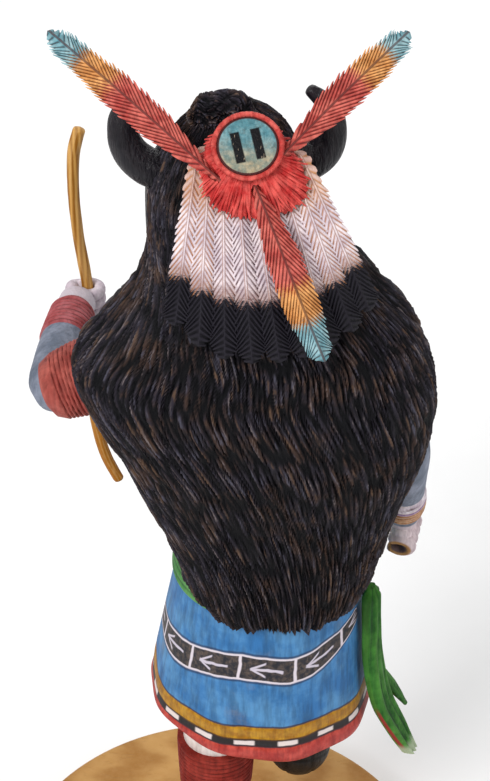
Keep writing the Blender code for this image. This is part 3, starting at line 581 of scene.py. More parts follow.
# brown and blue-grey flecks on the crests only: partly the hair's own tints, partly painted
# highlight
flecks = add(tree, "Mapping", Vector=lie, Scale=(800.0, 120.0, 1.0), Location=(3.7, 1.3, 0.0))
fleck = add(tree, "TexNoise", Vector=flecks.outputs[0], Scale=1.0, Detail=1.0)
crown = calc(tree, "MULTIPLY", fade(tree, rise, 0.3, 0.7), 0.75)
for start, full, fleck_tone in ((0.55, 0.70, rgb(0.105, 0.064, 0.042)),
                                (0.45, 0.30, rgb(0.075, 0.073, 0.098))):
    share = calc(tree, "MULTIPLY", fade(tree, fleck.outputs["Fac"], start, full), crown)
    tone = mix_paint(tree, share, tone, fleck_tone)
relief = calc(tree, "ADD", hairs.outputs["Fac"], calc(tree, "MULTIPLY", tufts.outputs["Fac"], 0.8))
set_surface(tree, shader, tone, relief, 0.0006, 1.0)
print("paint:", hair_paint.name)

# %% [markdown]
# ## Hair and mane: carving
# On the real figure a gouge has cut long locks that run down the back and lean to the right,
# each about 2 mm wide and 10 to 20 mm long. Here the smooth mass comes from level rings, and the
# locks from a cell pattern: scattered seeds in a stretched plane, with a cut wherever two seeds
# are equally near. That gives ragged, staggered locks that no straight flute would.

# %% Mass of the mane
# height, left, right, back, widest depth, front
MANE = ((139.2, -7.5, 43.5, -31.0, -6.0, 0.0), (143.5, -10.4, 46.4, -33.5, -7.0, 2.0),
        (152.0, -12.2, 48.6, -34.8, -8.0, 3.0), (166.0, -16.6, 51.8, -36.8, -9.0, 4.5),
        (180.0, -22.4, 56.0, -39.2, -10.0, 6.0), (194.0, -28.0, 60.0, -41.8, -11.0, 7.5),
        (206.0, -33.8, 61.8, -43.4, -11.0, 8.5), (216.0, -38.0, 61.2, -44.0, -11.0, 9.0),
        (225.0, -38.4, 58.6, -43.8, -10.0, 10.0), (235.0, -30.0, 54.2, -42.4, -9.0, 10.5),
        (244.0, -22.4, 46.0, -40.0, -7.0, 12.0), (252.0, -18.4, 38.4, -37.0, -5.0, 15.0),
        (261.0, -17.6, 29.6, -32.8, -3.0, 17.0), (271.0, -17.0, 26.4, -27.0, -2.0, 17.5),
        (278.5, -14.4, 23.8, -21.0, -1.0, 16.0), (284.5, -11.0, 21.0, -15.4, 0.0, 13.5),
        (289.0, -7.0, 17.4, -10.2, 0.5, 10.0), (292.0, -2.8, 12.4, -5.2, 1.0, 6.5))
CROWN_TOP = (4.8, 1.0, 293.4)
ROUNDNESS = 0.88


def level_ring(row, angles):
    """Points of one level ring of the mane in millimetres, from its left, right, back, front."""
    h, left, right, back, middle, front = row
    across, depth = np.cos(angles), np.sin(angles)
    reach = np.where(depth > 0, front - middle, middle - back)
    x = 0.5 * (left + right) + 0.5 * (right - left) * bulge(across, ROUNDNESS)
    y = middle + reach * bulge(depth, ROUNDNESS)
    return np.stack([x, y], -1)


def spread_columns(ring, columns):
    """A ring walked at even steps, closer together over the back than over the front."""
    closed = np.vstack([ring, ring[:1]])
    walk = walked(closed)
    share = np.interp(np.arange(columns) / columns, (0.0, 0.06, 0.94, 1.0), (0.0, 0.22, 0.78, 1.0))
    marks = share * walk[-1]
    return np.stack([np.interp(marks, walk, column) for column in closed.T], -1), share


HAIR_ROWS, HAIR_COLUMNS = 132, 470
mane_rows, mane_walk = even_steps(spline(MANE, 10), HAIR_ROWS, 4)
print("mane:", len(mane_rows), "rows over", round(mane_walk[-1], 1), "mm")


# %% Locks of hair
LOCK_WIDTH = 1.6
LOCK_LENGTH = 17.0
CUT_DEPTH = 1.35
FRINGE_DROP = 2.3
FRINGE_TOP, FRINGE_TALL, RAGGED_ROWS = 143.5, 4.3, 3


def hair_lie(share, depth):
    """Across and down coordinates that the strands follow, in millimetres."""
    side = 2.0 * share - 1.0
    across = side * 118.0
    lean = 0.20 * depth * (1.0 - side * side)
    wander = 0.7 * np.sin(depth / 17.0 + across / 19.0) + 0.35 * np.sin(depth / 6.5 - across / 8.0)
    return across - lean + wander, depth + 34.0 * (1.0 - np.exp(-depth / 42.0))


def locks(across, depth, width, length, seed):
    """How high the carving stands: 0 in the cuts and 1 on the locks, and a number per lock."""
    u, v = across / width, depth / length
    column, line = np.floor(u), np.floor(v)
    nearest = np.full(u.shape, 9.0)
    second = np.full(u.shape, 9.0)
    name = np.zeros(u.shape)
    for du in (-2, -1, 0, 1, 2):
        for dv in (-1, 0, 1):
            i, j = column + du, line + dv
            x = i + 0.15 + 0.7 * chance(i, j, seed) - u
            y = j + chance(i, j, seed + 1) - v
            reach = np.hypot(x, 0.62 * y)
            closer = reach < nearest
            second = np.where(closer, nearest, np.minimum(second, reach))
            name = np.where(closer, chance(i, j, seed + 2), name)
            nearest = np.where(closer, reach, nearest)
    return ease(second - nearest, 0.0, 0.34), name


def carve_hair(share, depth, calm):
    """Cut depth in millimetres and the height fact for points of the hair."""
    across, down = hair_lie(share, depth)
    stand, name = locks(across, down, LOCK_WIDTH, LOCK_LENGTH, 3.0)
    fine, _ = locks(across + 0.4, down, LOCK_WIDTH * 0.48, LOCK_LENGTH * 0.6, 11.0)
    mass = ripple(across / 9.0, down / 22.0, 5.0)
    cut = CUT_DEPTH * (1.0 - stand) + 0.32 * (1.0 - fine) + 0.6 * name * stand + 0.9 * (mass - 0.3)
    crest = stand * (0.62 + 0.38 * fine) * (0.55 + 0.45 * (1.0 - name))
    return -cut * calm, crest, across, down


def make_hair():
    """Rings of the mane with the locks cut into them."""
    angles = math.pi / 2 + circle(900)
    rings, along, crests = [], [], []
    for number, row in enumerate(mane_rows):
        ring, share = spread_columns(level_ring(row, angles), HAIR_COLUMNS)
        tangent = np.roll(ring, -1, 0) - np.roll(ring, 1, 0)
        outward = np.stack([tangent[:, 1], -tangent[:, 0]], -1)
        outward /= np.linalg.norm(outward, axis=1)[:, None]
        depth = mane_walk[-1] - mane_walk[number]
        calm = 0.70 + 0.30 * float(ease(np.array(depth), 10.0, 40.0))
        cut, crest, across, down = carve_hair(share, np.full(HAIR_COLUMNS, depth), calm)
        ring = ring + outward * cut[:, None]
        back = np.clip((row[4] - ring[:, 1]) / (row[4] - row[3]), 0.0, 1.0)
        height = row[0] - FRINGE_DROP * back * max(0.0, (FRINGE_TOP - row[0]) / FRINGE_TALL)
        if number < RAGGED_ROWS:
            ragged = 2.2 * (chance(np.floor(across / 1.7), 7.0) - 0.55) + 1.4 * (crest - 0.6)
            height = height - ragged * (RAGGED_ROWS - number) / RAGGED_ROWS
        rings.append(at(ring[:, 0], ring[:, 1], height))
        along.append(np.stack([across * MM, down * MM, np.zeros(HAIR_COLUMNS)], -1))
        crests.append(crest)
    return skin("hair", rings, hair_paint, np.array(along), np.array(crests),
                (None, at(*CROWN_TOP)))


def hair_relief(turn, walk):
    """Locks over a small round mass of hair, such as the knot on the crown."""
    across = turn * 7.0 + 2.2 * math.sin(walk / MM * 0.8)
    stand, name = locks(across, np.full(turn.shape, walk / MM * 1.5), 1.3, 7.0, 21.0)
    return -0.0012 * (1.0 - stand), stand * (0.6 + 0.4 * name)


TOPKNOT = ((-4.4, -2.5, 289.6, 3.0), (-0.6, -2.6, 291.4, 5.6), (2.4, -2.5, 292.8, 4.7),
           (5.4, -2.4, 292.2, 5.6), (9.6, -2.4, 289.6, 3.4))
hair = make_hair()
topknot = limb("topknot", TOPKNOT, 60, 44, hair_paint, hair_relief)
print("hair faces:", len(hair.data.polygons))

# %% [markdown]
# ## Skin, cloth and yarn: paint
# The rest of the block is painted in parts: grey-blue body paint, white hands and legs, wound
# yarn in brick red, and a blue wrapped kilt. Each part has its own material, so that one piece
# of carving still shows the borders that the painter drew.

# %% Mix the body and limb paints
def axis_distance(tree, place, centre, way):
    """How far a point lies from a straight axis, worked out in the material."""
    along, square = 0.0, 0.0
    for part, level, share in zip(add(tree, "SeparateXYZ", Vector=place).outputs, centre, way):
        offset = calc(tree, "SUBTRACT", part, float(level))
        along = calc(tree, "MULTIPLY_ADD", offset, float(share), along)
        square = calc(tree, "MULTIPLY_ADD", offset, offset, square)
    return calc(tree, "SQRT", calc(tree, "SUBTRACT", square, calc(tree, "MULTIPLY", along, along)))


FIST_LEFT = np.array((-37.8, 41.0, 204.4))
FIST_RIGHT = np.array((57.0, 17.2, 136.0))
RIGHT_WAY = unit(0.05, -0.35, 0.93)
RIGHT_GRIP = np.array((0.25, 0.92, 0.33))
RIGHT_GRIP = unit(*(RIGHT_GRIP - RIGHT_WAY * RIGHT_GRIP.dot(RIGHT_WAY)))
UP = np.array((0.0, 0.0, 1.0))


def body_paint(name, tone, thin_tone, cut_shade_tone, roughness=0.6, streak=0.25, patch=130.0,
               axis=None, rings=()):
    """Brushed paint over carved wood, with painted shade in its cuts and a faint painted highlight
    on its crests, and rings of colour round an axis.
    """
    paint, tree, shader, place, lie, rise = new_paint(name, roughness)
    stroke = brush(tree, place, tone, thin_tone, patch=patch, streak=streak, streak_scale=700.0)
    colour = stroke["Colour"]
    for radius, ring_tone in rings:
        away = axis_distance(tree, place, *axis)
        colour = mix_paint(tree, band(tree, away, -1.0, radius, 0.0004), colour, ring_tone)
    # shade painted into the cuts in the cut tone, and a faint highlight painted onto the crests in
    # the thin tone
    tone = shade_cuts_light_crests(tree, colour, rise, place, cut_shade_tone, thin_tone, cut=0.85, crest=0.12,
                   grit=1500.0)
    set_surface(tree, shader, tone, stroke["Height"], 0.00025, 0.5)
    return paint


# a point and a direction: the axis that each fist is closed round
LEFT_HAND = (at(*FIST_LEFT), UP)
RIGHT_HAND = (at(*FIST_RIGHT), RIGHT_GRIP)
# tone, thin tone and cut tone; in every body paint the cut tone is the shade painted into the
# cuts, and the thin tone is also the highlight painted onto the crests
SLATE = (rgb(0.11, 0.13, 0.17), rgb(0.24, 0.26, 0.32), rgb(0.05, 0.04, 0.05))
# the torso shares the left arm's paint
skin_paint = body_paint("left_arm_paint", *SLATE, axis=LEFT_HAND,
                        rings=((0.0150, rgb(0.60, 0.53, 0.57)),))
right_arm_paint = body_paint("right_arm_paint", *SLATE, axis=RIGHT_HAND,
                             rings=((0.0100, rgb(0.52, 0.43, 0.45)),))
hand_paint = body_paint("white_hand_paint", rgb(0.50, 0.42, 0.48), rgb(0.76, 0.70, 0.72),
                        rgb(0.13, 0.08, 0.08))
# the dark inner ring is painted shade in the hole through the fist; the ochre ring round it is the
# hand's own paint
right_hand_paint = body_paint("right_hand_paint", rgb(0.40, 0.31, 0.34), rgb(0.68, 0.58, 0.60),
                              rgb(0.10, 0.05, 0.05), axis=RIGHT_HAND,
                              rings=((0.0040, rgb(0.36, 0.17, 0.03)),
                                     (0.0026, rgb(0.035, 0.006, 0.002))))
leg_paint = body_paint("white_leg_paint", rgb(0.62, 0.52, 0.48), rgb(0.80, 0.74, 0.70),
                       rgb(0.20, 0.10, 0.08))
yarn_paint = body_paint("red_yarn", rgb(0.24, 0.050, 0.042), rgb(0.40, 0.115, 0.095),
                        rgb(0.09, 0.012, 0.012), streak=0.35)
garter_paint = body_paint("dark_red_yarn", rgb(0.15, 0.016, 0.012), rgb(0.27, 0.042, 0.032),
                          rgb(0.04, 0.005, 0.005), streak=0.35)
wrap_paint = body_paint("maroon_wrap", rgb(0.28, 0.060, 0.062), rgb(0.42, 0.14, 0.15),
                        rgb(0.05, 0.012, 0.012))
boot_paint = body_paint("buckskin", rgb(0.30, 0.085, 0.040), rgb(0.42, 0.15, 0.08),
                        rgb(0.06, 0.02, 0.01), roughness=0.75)
belt_paint = body_paint("green_belt", rgb(0.05, 0.17, 0.05), rgb(0.12, 0.27, 0.10),
                        rgb(0.01, 0.04, 0.01))
print("paints:", len(bpy.data.materials))

# %% Mix the cuff paint
cuff_paint, tree, shader, place, lie, rise = new_paint("painted_cuff", 0.6)
length = add(tree, "SeparateXYZ", Vector=lie).outputs["Y"]
stroke = brush(tree, place, rgb(0.50, 0.42, 0.48), rgb(0.75, 0.70, 0.74), patch=420.0, streak=0.2)
tan = brush(tree, place, rgb(0.30, 0.14, 0.07), rgb(0.52, 0.30, 0.18), patch=300.0)
tone = mix_paint(tree, band(tree, length, 0.0040, 0.0200), stroke["Colour"], tan["Colour"])
purple = band(tree, length, 0.0022, 0.0036, 0.0004)
tone = mix_paint(tree, calc(tree, "MULTIPLY", purple, 0.7), tone, rgb(0.16, 0.07, 0.20))
# painted shade between the windings and a painted highlight on their crests
tone = shade_cuts_light_crests(tree, tone, rise, place, rgb(0.07, 0.03, 0.03), rgb(0.7, 0.6, 0.5), cut=0.8,
               crest=0.3, grit=1500.0)
set_surface(tree, shader, tone, stroke["Height"], 0.0002)
print("paint:", cuff_paint.name)

# %% [markdown]
# ### The kilt's painted borders
# The kilt is sky blue with brushed streaks. Round it runs a black band in a white line, cut into
# cells with a white arrow in each, and the hem has an ochre stripe, a row of black and white
# dashes and a red edge. All of it is paint, so it is drawn by arithmetic on two coordinates that
# the mesh carries: the way round the hip, and the height over the hem.

# %% Mix the kilt paint
kilt_paint, tree, shader, place, lie, rise = new_paint("kilt_paint", 0.55)
parts = add(tree, "SeparateXYZ", Vector=lie)
around, height, over_band = parts.outputs
wobble = add(tree, "TexNoise", Vector=place, Scale=190.0, Detail=2.0)
shake = calc(tree, "MULTIPLY_ADD", wobble.outputs["Fac"], 0.0010, -0.0005)
around = calc(tree, "ADD", around, shake)
height = calc(tree, "ADD", height, shake)
over_band = calc(tree, "ADD", over_band, calc(tree, "MULTIPLY", shake, 0.8))
blue = brush(tree, place, rgb(0.042, 0.145, 0.340), rgb(0.105, 0.250, 0.450), patch=95.0,
             streak=0.42, streak_scale=420.0)
worn = add(tree, "TexNoise", Vector=place, Scale=60.0, Detail=5.0, Roughness=0.7)
tone = mix_paint(tree, calc(tree, "MULTIPLY", fade(tree, worn.outputs["Fac"], 0.56, 0.74), 0.45),
                 blue["Colour"], rgb(0.16, 0.17, 0.20))


def ink(mask, colour, strength=1.0):
    """Lay a painted mark over the kilt's colour so far."""
    return mix_paint(tree, calc(tree, "MULTIPLY", mask, strength), tone, colour)


ochre = brush(tree, place, rgb(0.30, 0.135, 0.016), rgb(0.46, 0.25, 0.05), patch=260.0)
red = brush(tree, place, rgb(0.33, 0.040, 0.030), rgb(0.48, 0.085, 0.065), patch=260.0)
DASH = 0.0060
LINE = 0.00035
OCHRE_STRIPE, DASH_STRIPE = (0.0908, 0.0963), (0.0884, 0.0911)
RED_TOP = DASH_STRIPE[0]
phase = calc(tree, "FRACT", calc(tree, "DIVIDE", calc(tree, "ADD", around, 0.2), 2.0 * DASH))
white_dash = band(tree, phase, 0.04, 0.50, 0.03)
tone = ink(band(tree, height, *OCHRE_STRIPE), ochre["Colour"])
tone = ink(band(tree, height, *DASH_STRIPE), rgb(0.022, 0.018, 0.018))
tone = ink(calc(tree, "MULTIPLY", band(tree, height, 0.0888, 0.0907), white_dash),
           rgb(0.66, 0.58, 0.56))
tone = ink(band(tree, height, 0.0, RED_TOP), red["Colour"])
for edge in (0.0965, 0.0912, 0.0885):
    tone = ink(band(tree, height, edge - LINE, edge + LINE, 0.0002), rgb(0.03, 0.015, 0.015), 0.8)

BAND_TALL = 0.0098
BAND_END = 0.0335
CELL = 0.0166
FIRST_CELL = 0.0251 + 10 * CELL
# the band grows narrower towards both hips: start and end of a taper, and its share
taper = 1.0
for start, full, share in ((0.0160, 0.0335, 0.75), (-0.0300, -0.0500, 0.45),
                           (0.0320, 0.0345, 1.2)):
    taper = calc(tree, "MULTIPLY_ADD", fade(tree, around, start, full), share, taper)
middle = calc(tree, "MULTIPLY", calc(tree, "SUBTRACT", over_band, 0.5 * BAND_TALL), taper)
inside = calc(tree, "MULTIPLY", band(tree, middle, -0.5 * BAND_TALL, 0.5 * BAND_TALL),
              band(tree, around, -0.2, BAND_END))
tone = ink(calc(tree, "MULTIPLY", band(tree, middle, -0.5 * BAND_TALL - 0.0009,
                                       0.5 * BAND_TALL + 0.0009),
                band(tree, around, -0.2, BAND_END + 0.0009)), rgb(0.015, 0.02, 0.05), 0.75)
tone = ink(inside, rgb(0.64, 0.58, 0.62))
cell = calc(tree, "FRACT", calc(tree, "DIVIDE", calc(tree, "ADD", around, FIRST_CELL), CELL))
cell = calc(tree, "MULTIPLY_ADD", cell, CELL, -0.5 * CELL)
panel = calc(tree, "MULTIPLY", band(tree, cell, -0.472 * CELL, 0.472 * CELL, 0.0002),
             band(tree, middle, -0.425 * BAND_TALL, 0.425 * BAND_TALL, 0.0002))
panel = calc(tree, "MULTIPLY", panel, inside)
black = brush(tree, place, rgb(0.020, 0.016, 0.018), rgb(0.100, 0.072, 0.055), patch=620.0,
              streak=0.5)
tone = ink(panel, black["Colour"])
shaft = calc(tree, "MULTIPLY", band(tree, cell, -0.0050, 0.0048), band(
    tree, calc(tree, "ADD", middle, calc(tree, "MULTIPLY", shake, 1.5)), -0.0005, 0.0005, 0.0002))
slope = calc(tree, "MULTIPLY_ADD", calc(tree, "ADD", cell, 0.0048), -0.62,
             calc(tree, "ABSOLUTE", middle))
head = calc(tree, "MULTIPLY", band(tree, cell, -0.0050, -0.0006),
            band(tree, slope, -0.00042, 0.00042, 0.0002))
arrow = calc(tree, "MULTIPLY", calc(tree, "MAXIMUM", shaft, head), panel)
tone = ink(arrow, rgb(0.60, 0.55, 0.62), 0.9)
# painted shade in the folds and grooves, and a faint painted highlight on the crests
tone = shade_cuts_light_crests(tree, tone, rise, place, rgb(0.02, 0.02, 0.03), rgb(0.12, 0.20, 0.30), cut=0.8,
               crest=0.05, grit=1500.0)
set_surface(tree, shader, tone, blue["Height"], 0.0002, 0.45)
print("kilt band cells are", CELL / MM, "mm wide")

# %% [markdown]
# ## Kilt and belt: carving
# The kilt is stiff cloth cut in wood: nearly a cone, with soft folds that deepen towards the
# hem and a narrow roll along the red edge. It is hollowed a little from below, so that the hem
# reads as a layer of cloth over the legs.

# %% Carve the kilt
# height, centre, half width, back, front
KILT = ((83.0, 13.5, 34.2, -29.4, 35.0), (90.0, 13.6, 33.8, -29.2, 34.2),
        (105.0, 14.5, 32.2, -28.7, 31.6), (122.0, 15.6, 30.3, -28.1, 28.8),
        (136.0, 16.4, 28.6, -27.6, 26.4), (143.0, 16.8, 27.8, -27.2, 25.0))
HEM_TILT = 0.11
KILT_FOLDS = 9
KILT_SIDES = 168
# way round the hip, height of the band's lower edge
BAND_LINE = ((-60.0, 108.5), (-38.0, 110.4), (-27.0, 111.2), (-17.0, 114.4), (-8.0, 116.2),
             (0.0, 115.4), (6.5, 114.6), (13.0, 115.4), (23.0, 119.0), (34.0, 123.4),
             (60.0, 132.0))


def kilt_ring(row, angles, swell):
    """Ring of the kilt: its points, tilted with the hem, in millimetres."""
    h, centre, half, back, front = row
    flare = (143.0 - h) / 60.0
    fold = 0.45 * flare * np.sin(KILT_FOLDS * angles + 0.6) + swell
    middle = 4.0
    reach = np.where(np.sin(angles) > 0, front - middle, middle - back)
    x = centre + (half + fold) * np.cos(angles)
    y = middle + (reach + fold) * np.sin(angles)
    return x, y, h + HEM_TILT * flare * (centre - x)


def make_kilt():
    """Kilt with a rolled red edge and shallow lines between its borders."""
    angles = math.pi / 2 + circle(KILT_SIDES)
    x, y, _ = kilt_ring(KILT[3], angles, 0.0)
    steps = np.hypot(np.diff(x, append=x[0]), np.diff(y, append=y[0]))
    around = np.concatenate([[0.0], np.cumsum(steps)])[:-1]
    around -= around[KILT_SIDES // 2]
    line = np.interp(around, *np.array(BAND_LINE).T)
    wave = 1.9 * np.sin((around + 10.0) / 17.0)
    rows, _ = even_steps(spline(KILT, 8), 40, 1)
    rings, along, crests = [], [], []
    for inset, lift in ((-4.0, 7.0), (-3.4, 3.5), (-3.0, 0.4)):
        x, y, z = kilt_ring(KILT[0], angles, inset)
        rings.append(at(x, y, z + lift))
        along.append(np.stack([around, np.full(KILT_SIDES, 84.0), np.zeros(KILT_SIDES)], -1) * MM)
        # the hollow underside gets a low height fact, so shade is painted under the hem
        crests.append(np.full(KILT_SIDES, 0.35))
    for row in rows:
        level = row[0] - wave * np.clip((112.0 - row[0]) / 12.0, 0.0, 1.0)
        cut = np.zeros(KILT_SIDES)
        for edge in (96.4, 91.2, 88.5):
            cut += np.exp(-((level - edge) / 0.8) ** 2)
        swell = 0.45 * np.exp(-((level - 85.5) / 1.9) ** 2) - 0.30 * cut
        swell -= 1.2 * max(0.0, 1.0 - (row[0] - 83.0) / 1.2)
        x, y, z = kilt_ring(row, angles, swell)
        rings.append(at(x, y, z))
        along.append(np.stack([around, level, z - line], -1) * MM)
        crests.append(1.0 - 0.55 * np.clip(cut, 0.0, 1.0))
    return skin("kilt", rings, kilt_paint, np.array(along), np.array(crests))


kilt = make_kilt()
print("kilt stands", round(kilt.dimensions.z / MM, 1), "mm tall")


# %% Oval bodies: belt, torso and mask
def oval_body(name, stations, sides, rows, paint, turn=0.0, axis=(0.0, 0.0), tip=None,
              relief=None):
    """Body through oval rows of height, centre, half width, back and front."""
    curve, _ = even_steps(spline(stations, 10), rows, 1)
    angles = circle(sides)
    swing = math.radians(turn)
    rings, along, crests = [], [], []
    for h, centre, half, back, front in curve:
        middle = 0.2 * (back + front)
        across, deep = np.cos(angles), np.sin(angles)
        reach = np.where(deep > 0, front - middle, middle - back)
        cut, crest = (0.0, np.ones(sides)) if relief is None else relief(angles, h)
        x = centre + (half + cut) * bulge(across, 0.92)
        y = middle + (reach + cut) * bulge(deep, 0.92)
        east, north = swung(x, y, swing)
        rings.append(at(east + axis[0], north + axis[1], h))
        along.append(np.stack([x, y, np.full(sides, h)], -1) * MM)
        crests.append(crest)
    return skin(name, rings, paint, np.array(along), np.array(crests), (None, tip))


def belt_relief(angles, h):
    """Three wound cords round the waist."""
    wave = np.abs(np.sin(math.pi * (h - 139.0) / 2.8 + 0.4 * np.sin(3 * angles)))
    return -0.35 * (1.0 - wave), wave


BELT = ((139.0, 16.6, 28.6, -27.7, 26.2), (140.4, 16.6, 29.7, -28.7, 27.4),
        (146.0, 16.8, 29.2, -28.4, 26.6), (147.5, 16.8, 28.2, -27.6, 25.6))
TORSO = ((134.0, 14.5, 25.0, -20.0, 23.0), (150.0, 14.0, 25.0, -19.0, 22.5),
         (170.0, 13.0, 26.0, -18.0, 21.5), (190.0, 12.0, 29.0, -18.0, 22.0),
         (207.0, 11.5, 32.0, -17.0, 21.0), (219.0, 11.0, 31.0, -16.0, 18.5),
         (227.0, 10.0, 24.0, -13.0, 14.0), (240.0, 6.0, 14.0, -10.0, 12.0))


def torso_relief(angles, h):
    """Chest and belly: a shallow midline and a soft fold over the ribs, on the front only."""
    front = np.clip(np.sin(angles), 0.0, 1.0)
    midline = np.exp(-((angles - math.pi / 2) / 0.09) ** 2)
    ribs = math.exp(-((h - 192.0) / 3.0) ** 2) * front
    return -0.7 * midline - 0.8 * ribs, 1.0 - 0.5 * midline


belt = oval_body("belt", BELT, 120, 16, belt_paint, relief=belt_relief)
torso = oval_body("torso", TORSO, 80, 40, skin_paint, relief=torso_relief)
print("belt and torso made")

# %% [markdown]
# ## Mask
# The photograph doesn't show the front, so the mask is a plain one of its kind, made up here: a
# dark round helmet, a short snout, two small round eyes and a painted green face field. Its
# borders are painted, and only the eyes and the snout stand out.

# %% Mix the mask paint
mask_paint, tree, shader, place, lie, rise = new_paint("mask_paint", 0.5)
parts = add(tree, "SeparateXYZ", Vector=lie)
side, deep, tall = parts.outputs
dark = brush(tree, place, rgb(0.014, 0.013, 0.016), rgb(0.045, 0.04, 0.042), patch=160.0)
green = brush(tree, place, rgb(0.035, 0.16, 0.15), rgb(0.08, 0.26, 0.24), patch=160.0)
field = calc(tree, "MULTIPLY", band(tree, side, -0.0150, 0.0150), calc(
    tree, "MULTIPLY", band(tree, deep, 0.008, 0.2), band(tree, tall, 0.240, 0.272)))
border = calc(tree, "MULTIPLY", band(tree, side, -0.0162, 0.0162), calc(
    tree, "MULTIPLY", band(tree, deep, 0.006, 0.2), band(tree, tall, 0.2388, 0.2732)))
tone = mix_paint(tree, border, dark["Colour"], rgb(0.62, 0.55, 0.50))
tone = mix_paint(tree, field, tone, green["Colour"])
set_surface(tree, shader, tone, dark["Height"], 0.00025)
eye_paint = body_paint("black_eye_paint", rgb(0.012, 0.012, 0.014), rgb(0.03, 0.03, 0.03),
                       rgb(0.004, 0.004, 0.004), roughness=0.3)
ring_paint = body_paint("white_ring_paint", rgb(0.60, 0.54, 0.50), rgb(0.75, 0.70, 0.66),
                        rgb(0.2, 0.15, 0.12))
snout_paint = body_paint("snout_paint", rgb(0.30, 0.135, 0.020), rgb(0.44, 0.24, 0.06),
                         rgb(0.05, 0.02, 0.01))
print("mask paints mixed")

# %% Carve the mask
FACE_TURN = 15.0
MASK_AXIS = (4.0, 0.0)
MASK = ((235.5, 0.0, 15.0, -12.0, 15.0), (239.0, 0.0, 18.6, -14.0, 20.5),
        (248.0, 0.0, 20.6, -15.0, 24.0), (260.0, 0.0, 21.0, -15.0, 25.4),
        (270.0, 0.0, 20.4, -15.0, 24.6), (277.0, 0.0, 17.6, -13.0, 21.0),
        (281.5, 0.0, 11.5, -9.0, 14.5))
facing = math.radians(FACE_TURN)
ahead = np.array((-math.sin(facing), math.cos(facing)))
beside = np.array((math.cos(facing), math.sin(facing)))


def on_face(side, reach, h, radius):
    """Row of a route on the mask: sideways, forwards, height and radius."""
    x, y = np.array(MASK_AXIS) + beside * side + ahead * reach
    return (x, y, h, radius)


def snout_relief(turn, walk):
    """Mouth line round the end of the snout."""
    cut = math.exp(-((walk / MM - 10.0) / 0.9) ** 2)
    return np.full(turn.shape, -0.0009 * cut), np.full(turn.shape, 1.0 - cut)


mask = oval_body("mask", MASK, 96, 36, mask_paint, FACE_TURN, MASK_AXIS, at(3.2, 2.9, 283.0))
SNOUT_LEVEL, EYE_LEVEL, EYE_SIDE = 250, 262, 8.6
SNOUT = ((18, 8.0), (26, 7.4), (32, 6.4))
snout = limb("snout", [on_face(0, reach, SNOUT_LEVEL, radius) for reach, radius in SNOUT],
             36, 24, snout_paint, snout_relief)
eyes = []
for side in (-EYE_SIDE, EYE_SIDE):
    for word, near, far, radius, sides, paint in (("eye_ring", 19.0, 23.9, 3.3, 24, ring_paint),
                                                  ("eye", 20.0, 24.7, 2.2, 20, eye_paint)):
        route = [on_face(side, reach, EYE_LEVEL, radius) for reach in (near, far)]
        eyes.append(limb(word, route, sides, 6, paint))
print("mask with", len(eyes) // 2, "eyes")

# %% [markdown]
# ## Arms, hands and legs
# Limbs are tapered tubes along a bent route. Wound yarn is a tube too: a wave along its length
# cuts it into turns, and a slant that grows round the limb makes the turns run as one thread.

# %% Yarn windings
def windings(pitch, depth, slant=1.0):
    """Relief of yarn wound round a limb, one thread beside another."""
    def relief(turn, walk):
        phase = walk / pitch + slant * turn / TURN + 0.12 * np.sin(2 * turn + walk * 900)
        round_top = np.abs(np.sin(math.pi * phase)) ** 0.7
        return -depth * (1.0 - round_top), round_top
    return relief


ARM_LEFT = ((-8, -1, 217, 8.8), (-28, -5, 214, 8.5), (-42, -8, 209.5, 8.0), (-43.4, 2, 208.5, 7.6),
            (-42.8, 18, 208, 6.6), (-41.6, 29, 208, 5.8), (-40.5, 36, 208, 5.4))
YARN_LEFT = ((-20, -4.5, 215, 10.4), (-33, -7, 212.5, 11.0), (-42.6, -8.2, 209.3, 9.6))
BAND_LEFT = ((-42.9, 16, 208, 7.4), (-42.2, 22.5, 208, 7.2), (-41.6, 29, 208, 6.8))
ARM_RIGHT = ((34, -1, 218, 8.8), (47, -5, 205, 8.2), (53.5, -7, 189, 7.4), (55.0, 0, 172, 6.6),
             (56.2, 9, 156, 5.6), (56.6, 13.5, 147, 4.9), (56.7, 15.5, 142, 4.4))
CUFF_RIGHT = ((55.7, 5.6, 161.0, 6.7), (56.0, 9.4, 155.0, 6.9), (56.3, 11.4, 151.0, 6.5))
LEG_LEFT = ((1, 3, 98, 12.0), (0, 2.5, 72, 11.0), (-0.5, 2, 60, 10.6), (-0.8, 0.5, 42, 9.4),
            (-1, -1, 22, 7.6), (-1, -1.5, 7, 7.4))
LEG_RIGHT = ((26, 3, 112, 12.0), (26.4, 10, 100, 12.0), (27, 15.5, 88, 11.4), (27.4, 18, 76, 10.6),
             (27.8, 19.4, 62, 9.6), (28, 20, 53, 7.8), (28, 20, 48, 7.4))
GARTER_LEFT = (46.0, 64.5)
GARTER_RIGHT = (66.0, 77.0)


def garter(name, leg, span, paint, extra=0.0):
    """Yarn wound round the leg, with flat ends, or a plain swollen copy that cuts its room."""
    route = spline(leg, 8)[::-1]
    turn = circle(60)
    wound = windings(0.0017, 0.0008)
    rings, along, crests = [], [], []
    for h in np.linspace(span[0] - extra, span[1] + extra, 56 if extra == 0 else 6):
        x, y, radius = [np.interp(h, route[:, 2], route[:, k]) for k in (0, 1, 3)]
        cut, crest = wound(turn, (h - span[0]) * MM) if extra == 0 else (0.0, np.ones(60))
        reach = radius + 2.0 + extra + cut / MM
        rings.append(at(x + reach * np.cos(turn), y + reach * np.sin(turn), h))
        along.append(np.stack([turn * 0.012, np.full(60, h * MM), np.zeros(60)], -1))
        crests.append(crest)
    return skin(name, rings, paint, np.array(along), np.array(crests))


